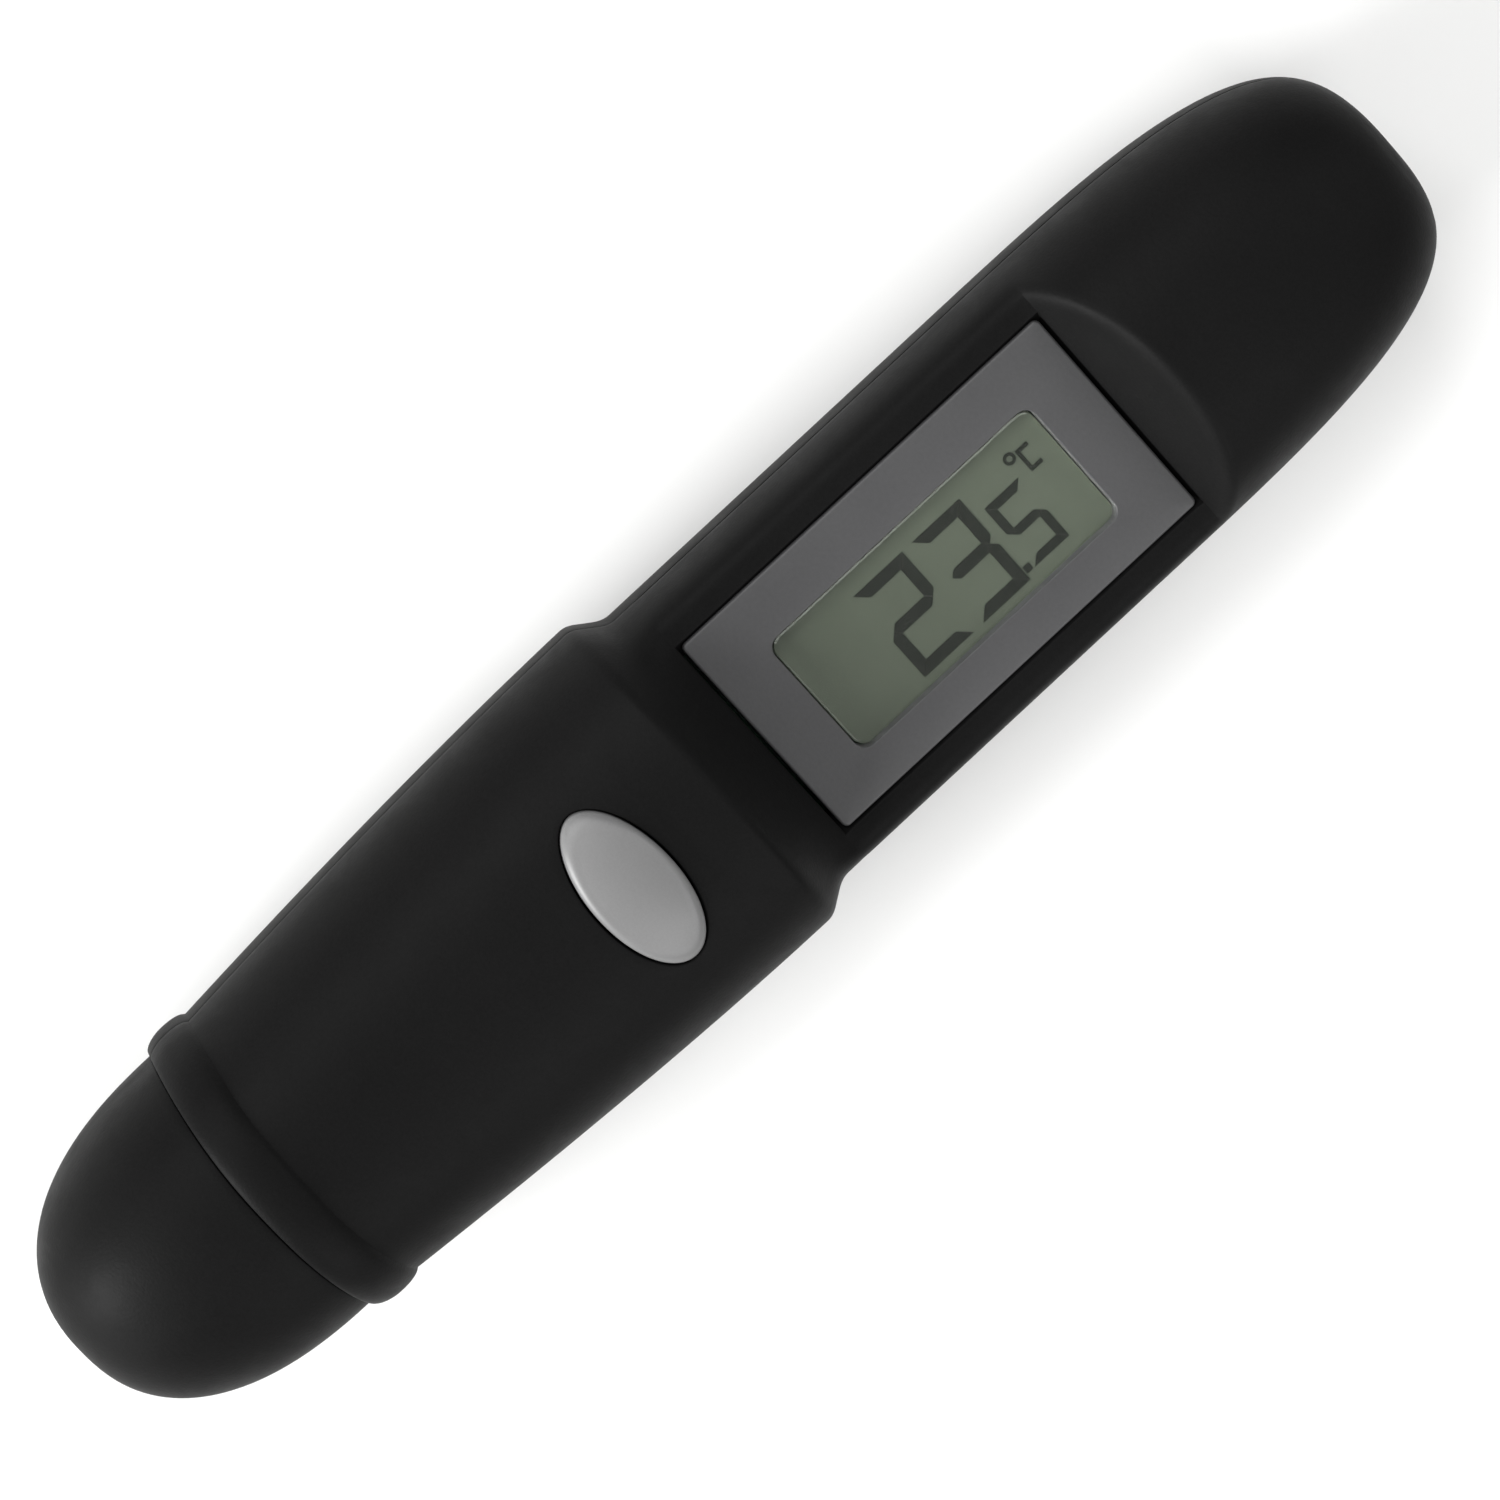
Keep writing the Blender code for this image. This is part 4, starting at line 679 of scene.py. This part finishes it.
film_size = [side - WINDOW_GAP for side in WINDOW_SIZE]
segment_top = LENS[1].z - PANE_SHEET - PANE_ROOM
film_top = segment_top - SEGMENT_FILM
film_rows = [corner_points(WINDOW_MIDDLE, film_size, WINDOW_CORNER, z, inset)
             for z, inset in ((FILM[0].z, 0.0), (film_top - FILM_EDGE, 0.0), (film_top, FILM_EDGE))]
film_tips = [Vector((*WINDOW_MIDDLE, z)) for z in (FILM[0].z, film_top)]
reflector_film = to_piece(skin(zip(*film_rows), film_tips), "reflector_film", reflector)
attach(reflector_film, "case")
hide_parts("lcd_polariser")

# Segments are a to g: top, right upper, right lower, bottom, left lower, left upper, middle
SEGMENTS = {"2": "abged", "3": "abgcd", "5": "afgcd"}
SEGMENT_GAP = 0.02
FOOT_MARGIN = 0.5 * MM


def segment_outline(letter, width, height, stroke):
    """Outline of one segment in a figure that starts at (0, 0), reading to the right and upwards."""
    half = height / 2
    gap = stroke * SEGMENT_GAP
    left, right = stroke + gap, width - stroke - gap
    if letter in "ad":
        base, way = (height, -1) if letter == "a" else (0.0, 1)
        return [(gap, base), (width - gap, base), (right, base + way * stroke), (left, base + way * stroke)]
    if letter == "g":
        return [(stroke / 2 + gap, half), (left, half + stroke / 2), (right, half + stroke / 2),
                (width - stroke / 2 - gap, half), (right, half - stroke / 2), (left, half - stroke / 2)]
    side = 0.0 if letter in "ef" else width
    inner = stroke if letter in "ef" else width - stroke
    middle = (side + inner) / 2
    low, high = (gap, half - gap) if letter in "ec" else (height - gap, half + gap)
    way = 1 if letter in "ec" else -1
    return [(side, low), (inner, low + way * stroke), (inner, high - way * stroke / 2),
            (middle, high), (side, high - way * stroke / 2)]


def figure(text, left, foot, width, height, stroke):
    """Outlines of one figure whose lower left corner stands at (left, foot)."""
    return [[(left + x, foot + y) for x, y in segment_outline(letter, width, height, stroke)]
            for letter in SEGMENTS[text]]


def ring_outline(middle, outer, inner, count=24):
    """A ring as a row of short quads."""
    quads = []
    for step in range(count):
        start, end = 2 * math.pi * step / count, 2 * math.pi * (step + 1) / count
        quads.append([(middle[0] + radius * math.cos(turn), middle[1] + radius * math.sin(turn))
                      for radius, turn in ((outer, start), (outer, end), (inner, end), (inner, start))])
    return quads


# Places on the display in millimetres: to the right from its tail end, and up from the figures' feet
outlines = figure("2", 4.55, 0.0, 3.15, 5.25, 0.62) + figure("3", 8.3, 0.0, 3.05, 5.25, 0.62)
outlines += [[(11.4, 0.3), (11.8, 0.3), (11.8, 0.7), (11.4, 0.7)]]
outlines += figure("5", 11.9, 0.3, 2.2, 3.75, 0.46)
outlines += ring_outline((14.35, 5.0), 0.32, 0.15)
outlines += [[(14.75, 5.1), (15.5, 5.1), (15.5, 4.88), (14.75, 4.88)],
             [(14.75, 4.88), (14.97, 4.88), (14.97, 4.02), (14.75, 4.02)],
             [(14.75, 4.02), (15.5, 4.02), (15.5, 3.8), (14.75, 3.8)]]

tail_edge = WINDOW_MIDDLE[1] - WINDOW_SIZE[1] / 2
feet = WINDOW_MIDDLE[0] + WINDOW_SIZE[0] / 2 - FOOT_MARGIN
shape = bmesh.new()
for outline in outlines:
    low, high = [[shape.verts.new((feet - up * MM, tail_edge + along * MM, z)) for along, up in outline]
                 for z in (film_top + SEGMENT_LIFT, segment_top)]
    shape.faces.new(low[::-1])
    shape.faces.new(high)
    band(shape, low, high)
bmesh.ops.recalc_face_normals(shape, faces=shape.faces)
segments = to_piece(shape, "display_segments", segment_ink)
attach(segments, "case")


# ---------------- sensor window
# A dark, polished infrared pane, slightly domed, pressed into the round hole in the nose. It passes
# heat rays but no light, so it shines like black glass with a faint violet coating.

infrared_pane, tree, place = new_material("infrared_pane")
smear = add(tree, "ShaderNodeTexNoise", {"Vector": place, "Scale": 1 / (1.5 * MM), "Detail": 3.0})
haze = add(tree, "ShaderNodeMapRange", {"Value": smear.outputs["Fac"], "From Min": 0.3, "From Max": 0.7,
                                        "To Min": 0.08, "To Max": 0.18})
tone = add(tree, "ShaderNodeMix",
           {"Factor": smear.outputs["Fac"], "A": linear("16141c"), "B": linear("1c1a22")}, data_type="RGBA")
shader = add(tree, "ShaderNodeBsdfPrincipled",
             {"Base Color": tone.outputs["Result"], "Roughness": haze.outputs[0], "IOR": 1.6,
              "Coat Weight": 0.6, "Coat Roughness": 0.05, "Coat Tint": linear("d8d0f0")})
add(tree, "ShaderNodeOutputMaterial", {"Surface": shader.outputs[0]})


def soften(profile, reach, steps=4):
    """Round the corners of a profile whose ends lie on the axis, as far as reach along its sides."""
    points = [Vector(profile[0])]
    for before, corner, after in zip(profile, profile[1:], profile[2:]):
        before, corner, after = Vector(before), Vector(corner), Vector(after)
        start = corner + (before - corner).normalized() * min(reach, (before - corner).length * 0.45)
        end = corner + (after - corner).normalized() * min(reach, (after - corner).length * 0.45)
        for step in range(steps + 1):
            share = step / steps
            points.append((1 - share) ** 2 * start + 2 * share * (1 - share) * corner + share ** 2 * end)
    return points + [Vector(profile[-1])]


def turned(name, profile, material, body, reach):
    """A round piece on the pen's axis, from (radius, y) points: a ring if it doesn't start on the axis."""
    solid = profile[0][0] == 0.0
    outline = soften(profile if solid else [profile[-1], *profile, profile[0]], reach)[1:-1]
    tips = (on_axis(profile[0][1]), on_axis(profile[-1][1])) if solid else (None, None)
    turns = [2 * math.pi * number / 96 for number in range(96)]
    columns = [[Vector((point.x * math.cos(turn), point.y, MID + point.x * math.sin(turn)))
                for point in outline] for turn in turns]
    piece = to_piece(skin(columns, tips), name, material)
    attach(piece, body)
    return piece


NOSE_BULGE = 0.3 * MM
dome = [(NOSE[1].x * share, NOSE_TIP - NOSE_BULGE * share ** 2)
        for share in (0.0, 0.2, 0.4, 0.6, 0.8, 0.95, 1.0)]
nose_pane = turned("nose_pane", dome + [(NOSE[1].x, NOSE[0].y), (0.0, NOSE[0].y)], infrared_pane, "case",
                   0.1 * MM)
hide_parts("nose_lens")


# ---------------- cells, cell tube and cap contact
# Two alkaline button cells stand nose to tail in a nickel-plated brass tube. The drawn cans have a
# rolled edge and turning marks; the cap holds a bright cup and the conical spring that closes the circuit.

CELL_POLE = 0.78
CELL_STEP = 0.65 * MM
TUBE_RADIUS = 6.3 * MM
TUBE_BORE = 5.9 * MM
FLANGE_GAP = 0.2 * MM
FLANGE_SHEET = 0.8 * MM


def drawn_metal(name, colour, mark, roughness, stretch=(1.0, 1.0, 1.0)):
    """Drawn or turned sheet metal: fine marks along its making, small stains, and uneven gloss."""
    material, tree, place = new_material(name)
    along = add(tree, "ShaderNodeMapping", {"Vector": place, "Scale": stretch})
    marks = add(tree, "ShaderNodeTexNoise", {"Vector": along.outputs[0], "Scale": 1 / mark, "Detail": 3.0})
    stain = add(tree, "ShaderNodeTexNoise", {"Vector": place, "Scale": 1 / (1.8 * MM), "Detail": 4.0})
    dark = tuple(part * 0.8 for part in linear(colour)[:3])
    tone = add(tree, "ShaderNodeMix",
               {"Factor": stain.outputs["Fac"], "A": linear(colour), "B": (*dark, 1.0)}, data_type="RGBA")
    gloss = add(tree, "ShaderNodeMapRange", {"Value": marks.outputs["Fac"], "From Min": 0.3, "From Max": 0.7,
                                             "To Min": roughness * 0.75, "To Max": roughness * 1.25})
    bump = add(tree, "ShaderNodeBump", {"Height": marks.outputs["Fac"], "Strength": 0.6,
                                        "Distance": 0.003 * MM})
    shader = add(tree, "ShaderNodeBsdfPrincipled",
                 {"Base Color": tone.outputs["Result"], "Metallic": 1.0, "Roughness": gloss.outputs[0],
                  "Normal": bump.outputs[0]})
    add(tree, "ShaderNodeOutputMaterial", {"Surface": shader.outputs[0]})
    return material


# Plating is warm and bright, steel and aluminium are cooler and greyer, and brass and gold are yellow.
nickel = drawn_metal("nickel_plate", "cfc8b8", 0.08 * MM, 0.26, (1.0, 0.15, 1.0))
steel = drawn_metal("stainless_steel", "c6c8cb", 0.06 * MM, 0.3, (0.2, 1.0, 0.2))
brass = drawn_metal("brass", "d2a85a", 0.08 * MM, 0.3)
aluminium = drawn_metal("turned_aluminium", "d6d7d9", 0.07 * MM, 0.38, (0.2, 1.0, 0.2))
gold = drawn_metal("gold_plate", "e6bf68", 0.06 * MM, 0.22)

for node in ("button_cell_1", "button_cell_2"):
    low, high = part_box(node)
    radius = high.x
    profile = [(0.0, high.y), (radius * 0.86, high.y), (radius * 0.9, high.y - 0.08 * MM),
               (radius, high.y - 0.12 * MM), (radius, low.y + CELL_STEP),
               (radius * 0.93, low.y + CELL_STEP - 0.1 * MM), (radius * CELL_POLE, low.y + CELL_STEP),
               (radius * CELL_POLE, low.y), (0.0, low.y)]
    cell = turned(node.replace("button_", "alkaline_"), profile, steel, "cells", 0.16 * MM)
    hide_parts(node)

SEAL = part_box("cap_seal")
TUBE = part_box("cell_tube")
flange_tail = SEAL[1].y + FLANGE_GAP
flange_head = flange_tail + FLANGE_SHEET
tube_profile = [(TUBE_RADIUS, TUBE[1].y), (TUBE_RADIUS, flange_head), (SKIRT_RADIUS, flange_head),
                (SKIRT_RADIUS, flange_tail), (TUBE_RADIUS, flange_tail), (TUBE_RADIUS, TUBE[0].y),
                (TUBE_BORE, TUBE[0].y), (TUBE_BORE, TUBE[1].y)]
cell_sleeve = turned("cell_sleeve", tube_profile, nickel, "case", 0.12 * MM)
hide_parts("cell_tube")

# The seal is a cut ring of black nitrile rubber, dull and slightly dusty.
nitrile = moulded("nitrile_rubber", "171717", "222221", 0.1 * MM, 0.01 * MM, 0.8, 1.5, 0.3)
seal_profile = [(SEAL[1].x, SEAL[1].y), (SEAL[1].x, SEAL[0].y), (SKIRT_BORE, SEAL[0].y),
                (SKIRT_BORE, SEAL[1].y)]
seal_ring = turned("seal_ring", seal_profile, nitrile, "case", 0.12 * MM)
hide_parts("cap_seal")

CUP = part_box("cap_contact")
CUP_SHEET = 0.3 * MM
CUP_GAP = 0.2 * MM
places = [CUP[1].y - (CUP[1].y - CUP[0].y) * math.sin(turn) for turn in quarter(16, 0)]
cup_outer = [(SKIRT_BORE * blunt((BORE_FOOT - y) / (BORE_FOOT - BORE_END), 2.0) - CUP_GAP, y) for y in places]
cup_inner = [(radius - CUP_SHEET, max(y, CUP[0].y + CUP_SHEET)) for radius, y in cup_outer]
cup_profile = [(0.0, CUP[0].y + CUP_SHEET), *cup_inner[::-1], *cup_outer, (0.0, CUP[0].y)]
contact_cup = turned("contact_cup", cup_profile, nickel, "tail_cap", 0.05 * MM)
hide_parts("cap_contact")


# ---------------- cap spring
# A conical coil of hard-drawn steel wire, wound with its wide end on the cup. Its turns are one
# spiral with the wire's round section carried along it.

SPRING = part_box("cap_spring")
SPRING_WIRE = 0.45 * MM


def new_tree(name, sizes):
    """An empty geometry tree with its sizes as named inputs."""
    tree = bpy.data.node_groups.new(name, "GeometryNodeTree")
    for size in sizes:
        socket = tree.interface.new_socket(size, in_out="INPUT", socket_type="NodeSocketFloat")
        socket.default_value = sizes[size]
    tree.interface.new_socket("Geometry", in_out="OUTPUT", socket_type="NodeSocketGeometry")
    return tree, add(tree, "NodeGroupInput").outputs


def grown(name, tree, sizes, result, material, body, slot):
    """Finish a geometry tree, set its inputs, and turn its result into a plain mesh piece."""
    real = add(tree, "GeometryNodeRealizeInstances", {"Geometry": result})
    painted = add(tree, "GeometryNodeSetMaterial", {"Geometry": real.outputs[0], "Material": material})
    add(tree, "NodeGroupOutput", {"Geometry": painted.outputs[0]})
    holder = bpy.data.objects.new(name + "_holder", bpy.data.meshes.new(name + "_holder"))
    bpy.context.scene.collection.objects.link(holder)
    modifier = holder.modifiers.new("build", "NODES")
    modifier.node_group = tree
    for socket in tree.interface.items_tree:
        if socket.in_out == "INPUT":
            modifier[socket.identifier] = sizes[socket.name]
    evaluated = holder.evaluated_get(bpy.context.evaluated_depsgraph_get())
    shape = bmesh.new()
    shape.from_mesh(bpy.data.meshes.new_from_object(evaluated))
    bpy.data.objects.remove(holder)
    bmesh.ops.remove_doubles(shape, verts=shape.verts, dist=0.0005 * MM)
    bmesh.ops.recalc_face_normals(shape, faces=shape.faces)
    piece = to_piece(shape, name, material)
    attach(piece, body)
    return piece


sizes = {"Turns": 3.0, "Wide Radius": 2.6 * MM, "Narrow Radius": 1.7 * MM, "Wire Radius": SPRING_WIRE / 2,
         "Length": SPRING[1].y - SPRING[0].y - SPRING_WIRE, "Start": SPRING[0].y + SPRING_WIRE / 2,
         "Axis": MID}
tree, given = new_tree("conical_spring", sizes)
coil = add(tree, "GeometryNodeCurveSpiral",
           {"Resolution": 48, "Rotations": given["Turns"], "Start Radius": given["Wide Radius"],
            "End Radius": given["Narrow Radius"], "Height": given["Length"]})
section = add(tree, "GeometryNodeCurvePrimitiveCircle", {"Resolution": 14, "Radius": given["Wire Radius"]})
wire = add(tree, "GeometryNodeCurveToMesh", {"Curve": coil.outputs[0], "Profile Curve": section.outputs[0],
                                             "Fill Caps": True})
spot = add(tree, "ShaderNodeCombineXYZ", {"Y": given["Start"], "Z": given["Axis"]})
laid = add(tree, "GeometryNodeTransform", {"Geometry": wire.outputs[0], "Translation": spot.outputs[0],
                                           "Rotation": (-math.pi / 2, 0.0, 0.0)})
coil_spring = grown("coil_spring", tree, sizes, laid.outputs[0], steel, "tail_cap", "steel")
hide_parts("cap_spring")


# ---------------- case screws
# Two small pan-head screws with a cross recess hold the shells together. They sit deep in round
# wells in the flat back, and differ only in their place.

HEAD_TALL = 0.9 * MM
sizes = {"Head Radius": SCREWS[0][1].x, "Head Height": HEAD_TALL, "Shank Radius": 0.8 * MM,
         "Shank Length": SCREWS[0][1].z - SCREWS[0][0].z - HEAD_TALL, "Recess Width": 0.42 * MM,
         "Recess Depth": 0.45 * MM, "Base": SCREWS[0][0].z,
         "First": (SCREWS[0][0].y + SCREWS[0][1].y) / 2, "Second": (SCREWS[1][0].y + SCREWS[1][1].y) / 2}
tree, given = new_tree("cross_screws", sizes)

# The head's outer face is narrower than its seat, and the recess is a cross of two bars cut from it.
scaled = {}
for part, size, share in (("outer face", "Head Radius", 0.86), ("arm", "Head Radius", 1.25),
                          ("half shank", "Shank Length", 0.5), ("bar depth", "Recess Depth", 2.0)):
    product = add(tree, "ShaderNodeMath", {0: given[size], 1: share}, operation="MULTIPLY")
    scaled[part] = product.outputs[0]
rounded = add(tree, "GeometryNodeMeshCone",
              {"Vertices": 48, "Radius Top": given["Head Radius"], "Depth": given["Head Height"],
               "Radius Bottom": scaled["outer face"]})
shank = add(tree, "GeometryNodeMeshCylinder", {"Vertices": 32, "Radius": given["Shank Radius"],
                                               "Depth": given["Shank Length"]})
shank_middle = add(tree, "ShaderNodeMath", {0: given["Head Height"], 1: scaled["half shank"]},
                   operation="ADD")
shank_spot = add(tree, "ShaderNodeCombineXYZ", {"Z": shank_middle.outputs[0]})
shank_laid = add(tree, "GeometryNodeTransform", {"Geometry": shank.outputs[0],
                                                 "Translation": shank_spot.outputs[0]})
recess = add(tree, "GeometryNodeMeshBoolean", operation="UNION")
for x, y in ((scaled["arm"], given["Recess Width"]), (given["Recess Width"], scaled["arm"])):
    span = add(tree, "ShaderNodeCombineXYZ", {"X": x, "Y": y, "Z": scaled["bar depth"]})
    bar = add(tree, "GeometryNodeMeshCube", {"Size": span.outputs[0]})
    tree.links.new(bar.outputs[0], recess.inputs["Mesh"])
driven = add(tree, "GeometryNodeMeshBoolean", {"Mesh 1": rounded.outputs[0], "Mesh 2": recess.outputs[0]},
             operation="DIFFERENCE")
screw = add(tree, "GeometryNodeJoinGeometry")
tree.links.new(driven.outputs[0], screw.inputs[0])
tree.links.new(shank_laid.outputs[0], screw.inputs[0])
start = add(tree, "ShaderNodeCombineXYZ", {"Y": given["First"], "Z": given["Base"]})
finish = add(tree, "ShaderNodeCombineXYZ", {"Y": given["Second"], "Z": given["Base"]})
line = add(tree, "GeometryNodeMeshLine", {"Count": 2, "Start Location": start.outputs[0],
                                          "Offset": finish.outputs[0]}, mode="END_POINTS")
copies = add(tree, "GeometryNodeInstanceOnPoints", {"Points": line.outputs[0], "Instance": screw.outputs[0]})
case_screws = grown("case_screws", tree, sizes, copies.outputs[0], steel, "case", "steel")
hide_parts("case_screw_tail", "case_screw_head")


# ---------------- parts inside the case
# What the shells hide is kept as the frame has it, in the finish of the real part: glass-epoxy board
# under green lacquer, epoxy chips, plated leads, soft black covers and strips, white polyamide.

board = moulded("solder_lacquer_board", "0f3f22", "154a2a", 0.4 * MM, 0.004 * MM, 0.35)
chip_epoxy = moulded("chip_epoxy", "1a1a1c", "222224", 0.05 * MM, 0.004 * MM, 0.6)
polyamide = moulded("white_polyamide", "d9d8d2", "e2e1dc", 0.12 * MM, 0.004 * MM, 0.5)
ceramic = moulded("barium_ceramic", "8a6a45", "9a7850", 0.08 * MM, 0.003 * MM, 0.55)
wire_cover = moulded("wire_cover_pvc", "1a1a1a", "242424", 0.2 * MM, 0.002 * MM, 0.4)
FINISHES = {
    board: ("circuit_board",),
    chip_epoxy: ("controller_chip", "amplifier_chip", "switch_body"),
    polyamide: ("lcd_frame", "terminal_insulator", "switch_plunger"),
    ceramic: ("sense_capacitor",),
    wire_cover: ("positive_lead", "negative_lead", "contact_strip_left", "contact_strip_right"),
    reflector: ("lcd_glass",),
    brass: ("positive_terminal",),
    aluminium: ("sensor_cone",),
    steel: ("clock_crystal",),
    nickel: ("sensor_can",),
    infrared_pane: ("sensor_filter",),
    gold: ("sensor_header", "sensor_lead_left_1", "sensor_lead_right_1", "sensor_lead_left_2",
           "sensor_lead_right_2"),
}
for finish, nodes in FINISHES.items():
    for node in nodes:
        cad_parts[node].data.materials.clear()
        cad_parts[node].data.materials.append(finish)


# ---------------- stage, light and camera
# The pen lies on a pale matt table in a dim white room, and is seen nearly from above. Four soft
# boxes light it from its two ends and its two sides, the strongest of them low behind the tail.

TABLE_HALF = 1.5
TABLE_DROP = 0.02 * MM
ROOM_LIGHT = 0.3

floor_shape = bmesh.new()
bmesh.ops.create_grid(floor_shape, x_segments=1, y_segments=1, size=TABLE_HALF)
bmesh.ops.translate(floor_shape, verts=floor_shape.verts, vec=(0.0, 0.0, -TABLE_DROP))
pale_table, tree, place = new_material("pale_table")
mottle = add(tree, "ShaderNodeTexNoise", {"Vector": place, "Scale": 1 / (30 * MM)})
tone = add(tree, "ShaderNodeMix",
           {"Factor": mottle.outputs["Fac"], "A": linear("f2f2f1"), "B": linear("f6f6f5")}, data_type="RGBA")
shader = add(tree, "ShaderNodeBsdfPrincipled", {"Base Color": tone.outputs["Result"], "Roughness": 0.9})
add(tree, "ShaderNodeOutputMaterial", {"Surface": shader.outputs[0]})
floor = to_piece(floor_shape, "floor", pale_table)


def soft_light(name, azimuth, elevation, distance, size, power):
    """A square soft box, at two angles in degrees, that faces the middle of the pen."""
    light = bpy.data.lights.new(name, "AREA")
    light.shape = "SQUARE"
    light.size = size
    light.energy = power
    holder = bpy.data.objects.new(name, light)
    turn, rise = math.radians(azimuth), math.radians(elevation)
    toward = Vector((math.sin(turn) * math.cos(rise), -math.cos(turn) * math.cos(rise), math.sin(rise)))
    holder.location = toward * distance
    holder.rotation_mode = "QUATERNION"
    holder.rotation_quaternion = toward.to_track_quat("Z", "Y")
    bpy.context.scene.collection.objects.link(holder)


soft_light("tail_soft_box", -10.0, 20.0, 0.9, 0.45, 15.0)
soft_light("left_soft_box", -90.0, 45.0, 1.0, 0.6, 4.6)
soft_light("right_soft_box", 90.0, 42.0, 1.0, 0.6, 3.8)
soft_light("head_soft_box", 180.0, 45.0, 1.0, 0.6, 2.6)
world = bpy.data.worlds.new("studio")
world.use_nodes = True
glow = world.node_tree.nodes["Background"].inputs
glow["Color"].default_value = (1.0, 1.0, 1.0, 1.0)
glow["Strength"].default_value = ROOM_LIGHT
bpy.context.scene.world = world
bpy.context.scene.view_settings.view_transform = "Standard"

VIEW_TILT = math.radians(15.0)
VIEW_PITCH = math.radians(-1.33)
VIEW_ROLL = (0.73294, 0.68029)
VIEW_DISTANCE = 0.291
toward = Vector((-math.sin(VIEW_TILT) * math.cos(VIEW_PITCH), math.sin(VIEW_PITCH),
                 math.cos(VIEW_TILT) * math.cos(VIEW_PITCH)))
along = (Vector((0.0, 1.0, 0.0)) - toward * toward.y).normalized()
across = along.cross(toward)
right = along * VIEW_ROLL[0] + across * VIEW_ROLL[1]
up = along * VIEW_ROLL[1] - across * VIEW_ROLL[0]
camera_data = bpy.data.cameras.new("camera")
camera_data.sensor_width = 36.0
camera_data.lens = 147.5
camera_data.shift_x = 0.0125
camera_data.shift_y = -0.0054
camera_data.clip_start = 0.01
camera = bpy.data.objects.new("camera", camera_data)
camera.matrix_world = Matrix.Translation(toward * VIEW_DISTANCE + Vector((0.0, 0.0, MID))) @ Matrix((
    (right.x, up.x, toward.x, 0.0), (right.y, up.y, toward.y, 0.0), (right.z, up.z, toward.z, 0.0),
    (0.0, 0.0, 0.0, 1.0)))
bpy.context.scene.collection.objects.link(camera)
bpy.context.scene.camera = camera
